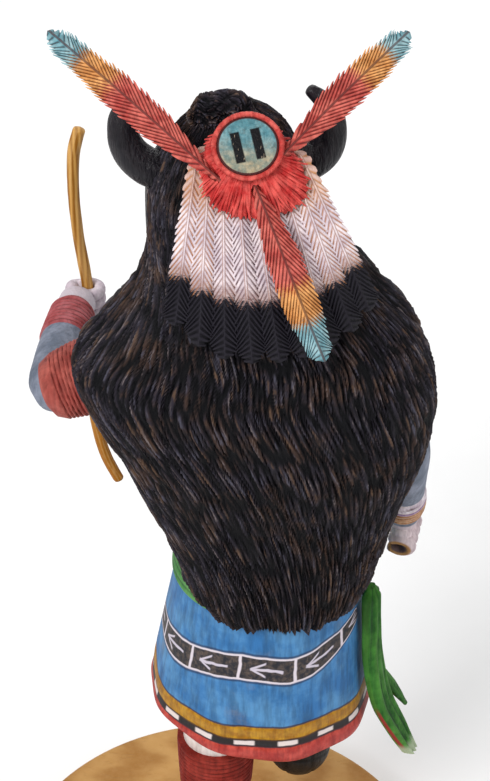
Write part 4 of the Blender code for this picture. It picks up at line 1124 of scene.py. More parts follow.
limbs = [
    limb("arm_left", ARM_LEFT, 36, 40, skin_paint),
    limb("yarn_left", YARN_LEFT, 64, 120, yarn_paint, windings(0.0012, 0.0006, 1.6)),
    limb("band_left", BAND_LEFT, 40, 48, wrap_paint, windings(0.0019, 0.0005)),
    limb("arm_right", ARM_RIGHT, 36, 50, right_arm_paint),
    limb("cuff_right", CUFF_RIGHT, 40, 40, cuff_paint, windings(0.0022, 0.0005, 0.0)),
    limb("leg_left", LEG_LEFT, 36, 30, leg_paint),
    limb("leg_right", LEG_RIGHT, 36, 30, leg_paint),
    garter("garter_left", LEG_LEFT, GARTER_LEFT, garter_paint),
    garter("garter_right", LEG_RIGHT, GARTER_RIGHT, garter_paint),
]
print("limbs:", [item.name for item in limbs])


# %% Curl the hands
def fist(name, centre, grip_axis, wrist_way, size, paint=hand_paint):
    """Closed hand: four fingers curled round a grip, a palm and a thumb."""
    side = np.cross(grip_axis, wrist_way)
    side /= np.linalg.norm(side)
    finger, curl, pitch = 2.3 * size, 4.0 * size, 3.5 * size
    parts = []
    for number in range(4):
        middle = centre + grip_axis * (number - 1.5) * pitch
        route = []
        for step in range(6):
            angle = math.radians(-46.0 + 54.0 * step + 5.0 * number)
            spot = middle + curl * (wrist_way * math.cos(angle) + side * math.sin(angle))
            route.append((*spot, finger * (1.0, 1.02, 0.96, 1.0, 0.94, 0.9)[step]))
        parts.append(limb(name + "_finger", route, 14, 18, paint, side=grip_axis))
    palm = [(*(centre + wrist_way * (curl + 1.6) + grip_axis * offset * pitch), 3.6 * size)
            for offset in (-1.2, 0.0, 1.2)]
    thumb = [(*(centre + wrist_way * curl * a + side * curl * b + grip_axis * pitch * c),
              2.2 * size) for a, b, c in ((1.2, -0.6, 1.4), (0.5, -1.3, 1.7), (-0.4, -1.35, 1.5),
                                          (-1.0, -0.8, 1.2))]
    parts.append(limb(name + "_palm", palm, 16, 8, paint, side=side))
    parts.append(limb(name + "_thumb", thumb, 14, 14, paint))
    return joined(parts)


left_way = unit(-0.2, -0.98, 0.0)
hands = [fist("hand_left", FIST_LEFT, LEFT_HAND[1], left_way, 0.86),
         fist("hand_right", FIST_RIGHT, RIGHT_GRIP, RIGHT_WAY, 0.86, right_hand_paint)]
print("hands:", len(hands))


# %% Shape the boots and their pegs
SHOE = ((-13.0, 4.5, 6.0), (-10.0, 7.2, 11.0), (-2.0, 8.4, 14.0), (8.0, 8.2, 12.0),
        (18.0, 9.2, 9.0), (26.0, 8.4, 7.4), (31.5, 5.0, 5.4))


def boot(x, y, turn, lift, dip):
    """Low soft boot: arched sections from the heel to the toe, with a seam over the instep."""
    swing, lean = math.radians(turn), math.radians(dip)
    angles = circle(28)
    rings, crests = [], []
    for along, half, tall in even_steps(spline(SHOE, 8), 36, 1)[0]:
        seam = np.exp(-((angles - math.pi / 2) / 0.2) ** 2)
        sole = np.exp(-((np.sin(angles) + 0.62) / 0.10) ** 2)
        side = (half - 0.35 * sole) * np.cos(angles)
        rise = np.maximum(tall * 0.5 * (1.0 + np.sin(angles)) - 0.4 * seam, 0.0)
        ahead_by = along * math.cos(lean) + rise * math.sin(lean)
        east, north = swung(side, ahead_by, swing)
        rings.append(at(east + x, north + y,
                        lift - along * math.sin(lean) + rise * math.cos(lean)))
        # the crease along the sole and the seam over the instep are low in this fact: the crease
        # gets painted shade, the seam both a dark line and painted shade
        crests.append(1.0 - 0.7 * np.maximum(seam, sole))
    return skin("boot", rings, boot_paint, None, np.array(crests))


def pin(name, start, end, radius, sides, paint):
    """Plain round pin between two points, in metres."""
    start, end = np.array(start), np.array(end)
    axis = unit(*(end - start))
    side = unit(*np.cross(axis, (0.3, 1.0, 0.2)))
    other = np.cross(axis, side)
    turn = circle(sides)
    ring = np.outer(np.cos(turn), side) + np.outer(np.sin(turn), other)
    return skin(name, [start + radius * ring, end + radius * ring], paint)


boots = [boot(-1.0, 0.0, 8.0, 0.0, 0.0), boot(28.0, 20.0, -8.0, 40.0, 14.0)]
TOE_OUT = math.radians(8.0)
# both pegs stand under the foot that carries the figure
PEG_SPOTS = [(-0.001 - along * math.sin(TOE_OUT), along * math.cos(TOE_OUT))
             for along in (-0.004, 0.016)]
PEG_FOOT, PEG_TOP, PEG_RADIUS = 0.007, 0.0193, 0.0025
pegs = [pin("peg", (x, y, PEG_FOOT), (x, y, PEG_TOP), PEG_RADIUS, 16, leg_paint)
        for x, y in PEG_SPOTS]
print("boots and pegs:", len(boots) + len(pegs))

# %% [markdown]
# ## One carving
# All of it was cut from one block, so the parts are united into one closed body. The seats of
# the horns, the bow and the rosette's pin are cut afterwards with slightly swollen copies of
# those pieces, which leaves the small play that lets them be set in.

# %% Routes of the pieces that are set in
PLAY = 0.0003
HORN_ROOT = 5.3
HORNS = {
    "horn_left": ((-12.5, -2.0, 273.6, 1.0), (-17.0, -2.0, 275.6, 0.98),
                  (-20.9, -1.5, 279.2, 0.92), (-22.9, -1.0, 284.6, 0.80),
                  (-22.4, -0.5, 290.6, 0.60), (-18.6, 0.0, 295.2, 0.34)),
    "horn_right": ((20.5, -2.0, 275.2, 1.0), (25.0, -2.0, 276.8, 0.98),
                   (29.2, -1.5, 280.0, 0.92), (31.0, -1.0, 285.6, 0.80),
                   (30.2, -0.5, 292.0, 0.58), (25.4, 0.0, 296.6, 0.32)),
}
BOW = ((-38.0, 41, 262.2, 2.0), (-39.9, 41, 254.5, 1.95), (-40.4, 41, 242.0, 1.8),
       (-39.6, 41, 226.4, 1.8), (-37.8, 41, 210.5, 1.8), (-37.2, 41, 190.0, 1.8),
       (-37.9, 41, 168.0, 1.8), (-36.9, 41, 156.6, 1.8), (-34.6, 41, 146.4, 1.8),
       (-31.3, 41, 138.0, 1.8))


def horn_route(name, extra=0.0):
    """Route of a horn in millimetres."""
    return [(x, y, h, share * HORN_ROOT + extra) for x, y, h, share in HORNS[name]]


CROWN = np.array((9.4, -14.5, 285.0)) * MM + np.array((0, 0, SOLE_LEVEL))
CROWN_TILT = math.radians(50.0)
DISC_ROOM = 0.0105
DOWEL_RADIUS, HOLE_RADIUS, DOWEL_DEPTH = 0.0022, 0.0025, 0.009


def crown_point(u, v, lift):
    """Points over the crown's seat: u to the right, v down the back, lift outwards, in metres."""
    u, v, lift = np.broadcast_arrays(u, v, lift)
    down = np.array((0.0, -math.sin(CROWN_TILT), -math.cos(CROWN_TILT)))
    out = np.array((0.0, -math.cos(CROWN_TILT), math.sin(CROWN_TILT)))
    return (CROWN + u[..., None] * np.array((1.0, 0, 0)) + v[..., None] * down
            + lift[..., None] * out)


# %% Unite the carving and cut its seats
figure = joined(limbs[:5] + [torso] + hands + [mask, snout] + eyes + [belt, kilt] + limbs[5:]
                + boots + pegs)
figure = joined([figure, joined([hair, topknot])])
for name in HORNS:
    cut_out(figure, limb("room", horn_route(name, PLAY / MM), 30, 30, hair_paint))
cut_out(figure, limb("room", [(x, y, h, radius + 0.3) for x, y, h, radius in BOW], 24, 60,
                     hand_paint, flat=0.9, side=(1, 0, 0)))
for radius, depth, sides in ((DISC_ROOM, 0.0, 48), (HOLE_RADIUS, DOWEL_DEPTH, 20)):
    cut_out(figure, pin("room", crown_point(0, 0, -depth), crown_point(0, 0, 0.02), radius, sides,
                        hair_paint))
finish_piece(figure, "figure_carving", "figure", sharp=65.0)

# %% [markdown]
# ## Horns and bow
# The horns are bent, tapered and painted in a satin black. The bow is a thin stave, stained
# tan, with darker grain and a small knob at its upper end. Both are tubes with a wandering
# radius, because a knife never leaves one.

# %% Horns
horn_paint, tree, shader, place, lie, rise = new_paint("horn_black", 0.38, Specular_IOR_Level=0.25)
base_tone = brush(tree, place, rgb(0.004, 0.0035, 0.006), rgb(0.014, 0.012, 0.016), patch=150.0)
tone = shade_cuts_light_crests(tree, base_tone["Colour"], rise, place, rgb(0.001, 0.001, 0.002),
               rgb(0.030, 0.024, 0.026), cut=0.8, crest=0.2, grit=700.0)
set_surface(tree, shader, tone, base_tone["Height"], 0.0003, 0.6)


def knife_marks(scale, depth):
    """Shallow flats left by a knife on a round piece."""
    def relief(turn, walk):
        flat = ripple(turn * 2.2, np.full(turn.shape, walk / scale), 4.0)
        line = ripple(turn * 6.0, np.full(turn.shape, walk / scale * 0.35), 9.0)
        return -depth * flat, 0.45 + 0.55 * ease(line, 0.25, 0.7)
    return relief


for name in HORNS:
    horn = limb("horn", horn_route(name), 40, 70, horn_paint, knife_marks(0.004, 0.0003))
    finish_piece(horn, name + "_carving", name)

# %% Bow
bow_paint, tree, shader, place, lie, rise = new_paint("tan_bow_wood", 0.48)
tall = add(tree, "Mapping", Vector=place, Scale=(1.0, 1.0, 0.12))
wood = use_group(tree, grained, Place=tall.outputs[0], Light=rgb(0.56, 0.32, 0.12),
                 Dark=rgb(0.25, 0.105, 0.024), Ring_Scale=190.0, Warp=5.0)
height = add(tree, "SeparateXYZ", Vector=place).outputs["Z"]
# the bow turns a flat darker tan towards its lower end
darker_lower_end = mix_paint(tree, fade(tree, height, 0.225, 0.155), wood["Colour"], rgb(0.30, 0.12, 0.018))
tone = shade_cuts_light_crests(tree, darker_lower_end, rise, place, rgb(0.10, 0.035, 0.008), rgb(0.72, 0.50, 0.26),
               cut=0.4, crest=0.25, grit=800.0)
set_surface(tree, shader, tone, wood["Height"], 0.0002, 0.5)
bow = limb("bow_carving", BOW, 28, 200, bow_paint, knife_marks(0.005, 0.00022), flat=0.88,
           side=(1, 0, 0))
finish_piece(bow, "bow_carving", "bow")

# %% [markdown]
# ## Feathers: paint
# Carved feathers are painted white or red first. On the white ones thin ochre or brown is
# painted into the cuts between the barbs, both as their own colour and as their shade; on the
# red ones a darker shade of their colour is painted there. A highlight is painted onto the barb
# crests. The colour changes follow the barbs, so each border is a ragged zigzag: the
# share of the length is bent by a narrow wave before it is compared with a level.

# %% Feather paints
def feather_facts(tree, lie, rise, zigzag):
    """Way across, share of the length with a barbed border, and number of a feather."""
    across, along, number = add(tree, "SeparateXYZ", Vector=lie).outputs
    barbs = calc(tree, "MULTIPLY", calc(tree, "SUBTRACT", rise, 0.5), zigzag)
    ragged = add(tree, "TexNoise", Vector=lie, Scale=420.0, Detail=2.0)
    ragged = calc(tree, "MULTIPLY", calc(tree, "SUBTRACT", ragged.outputs["Fac"], 0.5),
                  3.0 * zigzag)
    return across, calc(tree, "ADD", along, calc(tree, "ADD", barbs, ragged)), number


fan_paint, tree, shader, place, lie, rise = new_paint("white_fan_feathers", 0.58)
across, along, number = feather_facts(tree, lie, rise, 0.035)
white = brush(tree, place, rgb(0.46, 0.38, 0.43), rgb(0.78, 0.69, 0.71), patch=210.0, streak=0.15)
half = calc(tree, "ABSOLUTE", across)
tinted = fade(tree, half, 0.0008, 0.0032)
outer = fade(tree, calc(tree, "ABSOLUTE", calc(tree, "SUBTRACT", number, 4.0)), 1.5, 3.2)
barb_tone = mix_paint(tree, outer, rgb(0.10, 0.048, 0.042), rgb(0.38, 0.155, 0.016))
# ochre or brown paint in the barb cuts, which also stands for their shade, and a painted highlight
# on the barb crests
cut = shade_cuts_light_crests(tree, white["Colour"], rise, place, barb_tone, rgb(0.84, 0.77, 0.78), cut=1.0,
              crest=0.4)
soft_cut = mix_paint(tree, calc(tree, "MULTIPLY_ADD", tinted, 0.35, 0.65), white["Colour"],
                     cut)
root_tint = fade(tree, along, 0.36, 0.22)
tone = mix_paint(tree, calc(tree, "MULTIPLY", root_tint, 0.45), soft_cut, rgb(0.48, 0.22, 0.07))
quill_line = band(tree, half, 0.00020, 0.00042, 0.0001)
tone = mix_paint(tree, calc(tree, "MULTIPLY", quill_line, 0.7), tone, rgb(0.28, 0.14, 0.09))
edge = fade(tree, along, 0.700, 0.716)
tone = mix_paint(tree, calc(tree, "MULTIPLY", fade(tree, along, 0.61, 0.70), 0.5), tone,
                 rgb(0.20, 0.09, 0.05))
# painted shade in the cuts of the black tips, and a faint painted highlight on their crests
tip = shade_cuts_light_crests(tree, rgb(0.006, 0.005, 0.008), rise, place, rgb(0.001, 0.001, 0.002),
              rgb(0.022, 0.020, 0.028), cut=0.7, crest=0.4)
tone = mix_paint(tree, edge, tone, tip)
set_surface(tree, shader, tone, white["Height"], 0.0002, 0.5)


def long_feather_paint(name, red_end, ochre_end):
    """Red feather that turns ochre and then pale blue towards its tip."""
    paint, tree, shader, place, lie, rise = new_paint(name, 0.55)
    across, along, number = feather_facts(tree, lie, rise, 0.05)
    red = brush(tree, place, rgb(0.36, 0.050, 0.045), rgb(0.60, 0.150, 0.125), patch=260.0)
    ochre = brush(tree, place, rgb(0.48, 0.20, 0.070), rgb(0.74, 0.39, 0.17), patch=260.0)
    blue = brush(tree, place, rgb(0.12, 0.28, 0.33), rgb(0.34, 0.52, 0.56), patch=260.0)
    tone = mix_paint(tree, fade(tree, along, red_end - 0.03, red_end + 0.03), red["Colour"],
                     ochre["Colour"])
    tone = mix_paint(tree, fade(tree, along, ochre_end - 0.02, ochre_end + 0.02), tone,
                     blue["Colour"])
    # dark: shade painted into the barb cuts; light: highlight painted onto the barb crests
    dark = mix_paint(tree, 0.78, tone, rgb(0.035, 0.012, 0.012))
    light = mix_paint(tree, 0.3, tone, rgb(0.86, 0.62, 0.48))
    tone = shade_cuts_light_crests(tree, tone, rise, place, dark, light, cut=0.95, crest=0.2)
    half = calc(tree, "ABSOLUTE", across)
    tone = mix_paint(tree, calc(tree, "MULTIPLY", band(tree, half, -1.0, 0.00032, 0.0001), 0.75),
                     tone, rgb(0.05, 0.015, 0.015))
    set_surface(tree, shader, tone, red["Height"], 0.0002, 0.5)
    return paint


print("feather paint:", fan_paint.name)

# %% [markdown]
# ## Feathers: carving
# A feather is a thin ridged blade. Its barbs are cut as a herringbone: from the quill outwards
# and towards the tip. Along the edge each barb ends a little proud of the cut beside it, so the
# outline is toothed. One ring function serves all twelve feathers, given where a point goes.

# %% Barbs and blades
def barb_cut(across, walk, pitch, seed):
    """How high a barb stands along the ring that starts at walk on the quill: 0 in the cuts."""
    slow, quick = np.sin(walk / (pitch * 3.1) + seed), np.sin(walk / (pitch * 1.3) + seed)
    wander = 0.25 * slow + 0.12 * quick
    phase = walk / pitch + wander + 0.5 * (across > 0)
    barb = np.abs(2.0 * (phase - np.floor(phase)) - 1.0)
    return ease(1.0 - barb, 0.0, 0.75), np.floor(phase)


def blade(name, point, spans, length, half_width, thick, paint, pitch=0.00170, slant=1.5,
          tooth=0.0006, cut=0.00036, rows=260, seed=0.0, lift=0.0, quill=0.5):
    """Feather blade through cross-sections; point(side, walk, level) gives places in metres."""
    table = np.array(spans)
    marks = np.linspace(table[0, 0], table[-1, 0], rows)
    widths = np.interp(marks, table[:, 0], table[:, 1])
    kernel = np.hanning(max(3, rows // 16))
    kernel /= kernel.sum()
    pad = len(kernel) // 2
    widths = np.convolve(np.pad(widths, pad, mode="edge"), kernel, "same")[pad:-pad]
    top = np.array((-1.0, -0.9, -0.76, -0.6, -0.42, -0.24, -0.11, -0.05, 0.0, 0.05, 0.11, 0.24,
                    0.42, 0.6, 0.76, 0.9, 1.0))
    under = np.array((0.86, 0.3, -0.3, -0.86))
    rings, along, crests = [], [], []
    for mark, width in zip(marks, widths):
        half = half_width * width
        walk = mark * length
        stand, tally = barb_cut(top * half, walk, pitch, seed)
        shear = slant * min(1.0, 5.0 * (marks[-1] - mark), max(0.0, 8.0 * (mark - 0.02)))
        edge = np.abs(top) ** 6
        far = half + edge * tooth * (stand - 0.5 + 0.7 * (chance(tally, 5.0, seed) - 0.5)) * min(
            1.0, width * 2.0)
        side = top * far
        arch = 0.35 + 0.65 * (1.0 - np.abs(top) ** 1.7)
        spine = np.exp(-(top * half / 0.00042) ** 2)
        level = arch * thick + lift * (1.0 - np.abs(top) ** 3) - cut * (1.0 - stand) * (
            1.0 - 0.85 * spine) * min(1.0, half / 0.0012) + quill * spine * 0.00042
        stand = np.maximum(stand, spine)
        ring_side = np.concatenate([side, under * half])
        ring_walk = walk + shear * np.abs(ring_side)
        rings.append(point(ring_side, ring_walk, np.concatenate([level, np.zeros(len(under))])))
        along.append(np.stack([ring_side, ring_walk / length, np.full(len(ring_side), seed)], -1))
        crests.append(np.concatenate([stand, np.full(len(under), 0.5)]))
    end = point(np.zeros(1), np.full(1, (marks[-1] + 0.012) * length), np.full(1, 0.4 * thick))[0]
    return skin(name, rings, paint, np.array(along), np.array(crests), (None, end))


# %% The fan behind the crown
FAN_LENGTH = 0.0530
FAN_THICKNESS = 0.0017
FAN_LEVEL = 2 * PLAY
FAN_ROOT, FAN_TURN, FEATHERS = (-0.0144, 0.0150), (-9.5, 26.5), 9
FAN_SPANS = ((-0.09, 0.44), (0.02, 0.52), (0.22, 0.62), (0.46, 0.75), (0.70, 0.90), (0.84, 0.96),
             (0.93, 0.74), (0.985, 0.38))


def fan_point(u, v, lift):
    """Points over the fan, which bends down the back and falls away to both sides."""
    u, v, lift = np.broadcast_arrays(u, v, lift)
    start = math.radians(90.0) - CROWN_TILT
    radius = FAN_LENGTH / (CROWN_TILT - math.radians(24.0))
    slope = start + v / radius
    along = np.stack([0 * v, -(np.sin(slope) - math.sin(start)),
                      np.cos(slope) - math.cos(start)], -1) * radius
    out = np.stack([0 * v, -np.sin(slope), np.cos(slope)], -1)
    drop = 0.70 * np.clip((v / FAN_LENGTH - 0.33) / 0.37, 0.0, 1.0) * u * u / FAN_LENGTH
    return (CROWN + u[..., None] * np.array((1.0, 0, 0)) + along + out * (lift - drop)[..., None])


def fan_blade(number):
    """One feather of the fan, longest down the middle."""
    share = (number + 0.5) / FEATHERS
    root = FAN_ROOT[0] + (FAN_ROOT[1] - FAN_ROOT[0]) * share
    heading = math.radians(FAN_TURN[0] + (FAN_TURN[1] - FAN_TURN[0]) * share)
    length = FAN_LENGTH * (1.0 - 0.235 * abs(2.0 * share - 1.0) ** 2.6)
    opening = FAN_LENGTH * math.sin(math.radians(FAN_TURN[1] - FAN_TURN[0]))
    half = 0.56 * (FAN_ROOT[1] - FAN_ROOT[0] + opening) / FEATHERS

    def point(side, walk, level):
        narrow = 1.0 - 0.4 * np.clip(-walk / 0.005, 0.0, 1.0)
        return fan_point(root * narrow + walk * math.sin(heading) + side * math.cos(heading),
                         walk * math.cos(heading) - side * math.sin(heading), FAN_LEVEL + level)

    return blade("fan_feather", point, FAN_SPANS, length, half, 0.5 * FAN_THICKNESS, fan_paint,
                 rows=250, seed=float(number), lift=0.00076 * (number % 2), quill=0.6)


fan = joined([fan_blade(number) for number in range(FEATHERS)])
cut_out(fan, pin("hole", crown_point(0, 0, -0.002), crown_point(0, 0, 0.006), HOLE_RADIUS, 24,
                 fan_paint))
finish_piece(fan, "fan_carving", "feather_fan", sharp=60.0)

# %% Three long feathers
LONG_HALF = 0.0037
QUILL = 0.0007
LONG_SPANS = ((0.0, 0.0), (0.07, 0.05), (0.15, 0.62), (0.24, 0.98), (0.45, 1.0), (0.65, 0.84),
              (0.84, 0.62), (0.95, 0.38), (1.0, 0.1))
QUILL_SHARE = 0.16
# quill's end, root and tip over a surface, bend, the surface, and where red and ochre end
LONG_FEATHERS = {
    "feather_left": ((-0.0062, 0.0082, 0.0042), (-0.0115, 0.0042, 0.0062),
                     (-0.0498, -0.0292, 0.0115), 0.0008, crown_point, 0.66, 0.84),
    "feather_right": ((0.0070, 0.0030, 0.0044), (0.0122, -0.0020, 0.0062),
                      (0.0403, -0.0292, 0.0110), 0.0008, crown_point, 0.66, 0.86),
    "feather_down": ((0.0010, 0.0068, 0.0042), (0.0030, 0.0120, 0.0066),
                     (0.0192, 0.0515, 0.0048), 0.0004, fan_point, 0.60, 0.80),
}


def feather_route(name):
    """Even steps from the quill's end to the tip, and the way that the feather faces."""
    quill, root, tip, bow_out, surface, _, _ = LONG_FEATHERS[name]
    quill, root, tip = np.array(quill), np.array(root), np.array(tip)
    spots = []
    for share in np.linspace(0.0, 1.0, 60):
        if share < QUILL_SHARE:
            spot = quill + (root - quill) * share / QUILL_SHARE
        else:
            mix = (share - QUILL_SHARE) / (1.0 - QUILL_SHARE)
            spot = root + (tip - root) * mix + np.array((0, 0, bow_out * math.sin(math.pi * mix)))
        spots.append(surface(*spot))
    facing = surface(root[0], root[1], 0.01) - surface(root[0], root[1], 0.0)
    return np.array(spots), facing / np.linalg.norm(facing)


def long_feather(name, extra=0.0):
    """One long feather, or a plain swollen copy that cuts its seat."""
    spots, facing = feather_route(name)
    walks = walked(spots)
    red_end, ochre_end = LONG_FEATHERS[name][5:]

    def point(side, walk, level):
        walk = np.minimum(np.broadcast_to(walk, side.shape), walks[-1] + 0.001)
        centre = np.stack([np.interp(walk, walks, spots[:, axis]) for axis in range(3)], -1)
        centre = centre + np.outer(np.maximum(0.0, walk - walks[-1]),
                                   unit(*(spots[-1] - spots[-2])))
        middle = float(walk.mean())
        near = np.interp((middle - 0.002, middle + 0.002), walks, np.arange(len(walks)))
        tangent = unit(*(spots[int(math.ceil(near[1]))] - spots[int(near[0])]))
        across = unit(*np.cross(tangent, facing))
        out = np.cross(across, tangent)
        return centre + np.outer(side, across) + np.outer(level, out)

    if extra:
        table = np.array(LONG_SPANS)
        rings = []
        for mark in np.linspace(0.0, 1.0, 24):
            half = LONG_HALF * np.interp(mark, table[:, 0], table[:, 1]) + QUILL + extra
            turn = circle(12)
            tall = min(0.0009, half) + extra
            rings.append(point(half * np.cos(turn), mark * walks[-1], tall * np.sin(turn)))
        return skin("room", rings, tuft_paint)

    def raised(side, walk, level):
        return point(side, walk, level - 0.0006)

    widest = LONG_HALF + QUILL
    spans = [(mark, (width * LONG_HALF + QUILL) / widest) for mark, width in LONG_SPANS]
    paint = long_feather_paint(name + "_paint", red_end, ochre_end)
    return blade(name + "_carving", raised, spans, walks[-1], widest, 0.0010, paint,
                 pitch=0.0018, slant=2.1, tooth=0.0007, cut=0.00030, rows=340,
                 seed=len(name), lift=0.00045, quill=1.0)


for name in LONG_FEATHERS:
    finish_piece(long_feather(name), name + "_carving", name, sharp=60.0)

# %% [markdown]
# ## Red tuft
# Between the fan and the rosette lies a collar of dyed bristles. On the carving they are narrow
# straight cuts with ragged ends. A low core carries a crowd of tapered strands, each with its
# own length, tilt and width, all repeatable because their chance comes from their number.

# %% Tuft
tuft_paint = body_paint("coral_tuft", rgb(0.42, 0.034, 0.034), rgb(0.66, 0.125, 0.110),
                        rgb(0.12, 0.006, 0.008), roughness=0.5, streak=0.4, patch=260.0)
ROSETTE = 0.0092
TUFT_LEVEL = FAN_LEVEL + FAN_THICKNESS + PLAY
TUFT_THICK = 0.0042
STRANDS = 150


def tuft_reach(angle):
    """Length of the strands; angle 0 points down the back."""
    down = 0.5 + 0.5 * np.cos(angle)
    side = np.exp(-((angle - math.radians(52.0)) / 0.45) ** 2)
    return ROSETTE * (1.065 + 0.826 * down ** 1.6 + 0.457 * side)


def tuft_core():
    """Low ring under the strands, with fine radial cuts."""
    count = 264
    angles = circle(count)
    wrapped = np.where(angles > math.pi, angles - TURN, angles)
    stand = np.abs(np.sin(angles * 33.0 + 0.8 * np.sin(5 * angles))) ** 0.8
    reach = tuft_reach(wrapped) * (0.90 + 0.06 * chance(np.floor(angles * 21.0), 2.0))
    rim = ROSETTE * 0.98
    sections, heights = [], []
    for share, level, cut in ((0.0, 0.0, 0.0), (0.5, 0.0, 0.0), (1.0, 0.0, 0.0),
                              (1.0, 0.0003, 0.4), (0.8, 0.30, 0.9), (0.6, 0.46, 1.0),
                              (0.4, 0.60, 1.0), (0.2, 0.76, 1.0), (0.0, 0.88, 0.8),
                              (-0.5, 0.90, 0.0), (-1.0, 1.0, 0.0)):
        radius = rim + (reach - rim) * share if share >= 0 else rim + (HOLE_RADIUS - rim) * -share
        if level == 0.0:
            radius = HOLE_RADIUS + (reach - HOLE_RADIUS) * share
        height = level * TUFT_THICK if level > 0.001 else level
        height = np.full(count, height) - 0.0005 * cut * (1.0 - stand)
        height = np.maximum(height, 0.0)
        sections.append(fan_point(radius * np.sin(angles), radius * np.cos(angles),
                                  TUFT_LEVEL + height))
        heights.append(np.where(cut > 0, stand, 0.6) * np.ones(count))
    return skin("tuft_core", sections, tuft_paint, None, np.array(heights), loop=True)


def tuft_strand(number):
    """One tapered strand that lies over the core and runs past it."""
    angle = TURN * (number + 0.7 * chance(number, 1.0)) / STRANDS
    wrapped = angle - TURN if angle > math.pi else angle
    reach = float(tuft_reach(wrapped)) * (0.90 + 0.16 * float(chance(number, 2.0)))
    swing = 0.20 * (float(chance(number, 3.0)) - 0.5)
    half = 0.00028 + 0.00022 * float(chance(number, 4.0))
    start = 0.82 * ROSETTE
    rings, crests = [], []
    for share in (0.0, 0.2, 0.4, 0.6, 0.8, 0.93):
        radius = start + (reach - start) * share
        heading = angle + swing * share * share
        top = TUFT_THICK * (0.86 - 0.80 * share ** 1.2) + 0.0004 * float(chance(number, 6.0))
        wide = half * (1.0 - 0.7 * share ** 3)
        turn = circle(7)
        u = radius * math.sin(heading) + wide * np.cos(turn) * math.cos(heading)
        v = radius * math.cos(heading) - wide * np.cos(turn) * math.sin(heading)
        rings.append(fan_point(u, v, TUFT_LEVEL + np.maximum(top, 0.00035) + 0.8 * wide
                               * np.sin(turn)))
        # each strand's upper side stands high and its underside low, so its underside is painted
        # in shade and its upper side with a faint highlight
        crests.append(0.45 + 0.55 * np.clip(np.sin(turn), 0.0, 1.0))
    return skin("strand", rings, tuft_paint, None, np.array(crests))


tuft = joined([tuft_core()] + [tuft_strand(number) for number in range(STRANDS)])
for name in LONG_FEATHERS:
    cut_out(tuft, long_feather(name, PLAY))
finish_piece(tuft, "tuft_carving", "red_tuft", sharp=60.0)

# %% [markdown]
# ## Rosette
# A turned disc with a raised rim, set on a pin. The rim is red with short scratched strokes, the
# field is turquoise at the top and fades to cream below, and two black bars stand side by side
# on it. The field lies in the disc's own plane, so its paint is drawn on coordinates of that
# plane, which the mesh carries.

# %% Rosette paint
disc_paint, tree, shader, place, lie, rise = new_paint("rosette_paint", 0.5)
u, v, ring = add(tree, "SeparateXYZ", Vector=lie).outputs
blue = brush(tree, place, rgb(0.100, 0.225, 0.260), rgb(0.21, 0.34, 0.36), patch=420.0,
             streak=0.35, streak_scale=1500.0)
cream = brush(tree, place, rgb(0.21, 0.24, 0.20), rgb(0.46, 0.38, 0.26), patch=420.0)
tone = mix_paint(tree, fade(tree, v, -0.003, 0.0055), blue["Colour"], cream["Colour"])
blots = add(tree, "TexNoise", Vector=place, Scale=520.0, Detail=3.0)
tone = mix_paint(tree, calc(tree, "MULTIPLY", fade(tree, blots.outputs["Fac"], 0.58, 0.72), 0.6),
                 tone, rgb(0.07, 0.09, 0.09))
BAR_TILT = math.radians(13.0)
turned_u = calc(tree, "ADD", calc(tree, "MULTIPLY", u, math.cos(BAR_TILT)),
                calc(tree, "MULTIPLY", v, -math.sin(BAR_TILT)))
turned_v = calc(tree, "ADD", calc(tree, "MULTIPLY", u, math.sin(BAR_TILT)),
                calc(tree, "MULTIPLY", v, math.cos(BAR_TILT)))
bars = calc(tree, "MULTIPLY", band(tree, calc(tree, "ABSOLUTE", turned_u), 0.0014, 0.0038, 0.0002),
            band(tree, turned_v, -0.0041, 0.0041, 0.0002))
scratch = add(tree, "Mapping", Vector=lie, Scale=(2600.0, 500.0, 1.0))
scratches = add(tree, "TexNoise", Vector=scratch.outputs[0], Scale=1.0, Detail=1.0)
bar_tone = mix_paint(tree, fade(tree, scratches.outputs["Fac"], 0.66, 0.72),
                     rgb(0.004, 0.004, 0.005), rgb(0.30, 0.25, 0.19))
tone = mix_paint(tree, bars, tone, bar_tone)
red = brush(tree, place, rgb(0.42, 0.050, 0.045), rgb(0.64, 0.14, 0.12), patch=420.0)
tone = mix_paint(tree, band(tree, ring, ROSETTE - 0.0020, ROSETTE - 0.0013, 0.0001), tone,
                 rgb(0.05, 0.012, 0.012))
tone = mix_paint(tree, band(tree, ring, ROSETTE - 0.0014, 0.1, 0.0001), tone, red["Colour"])
# painted shade in the notches of the rim
tone = shade_cuts_light_crests(tree, tone, rise, place, rgb(0.07, 0.012, 0.012), rgb(0.40, 0.20, 0.17), cut=0.85,
               crest=0.0, grit=1500.0)
set_surface(tree, shader, tone, blue["Height"], 0.00015)
print("paint:", disc_paint.name)


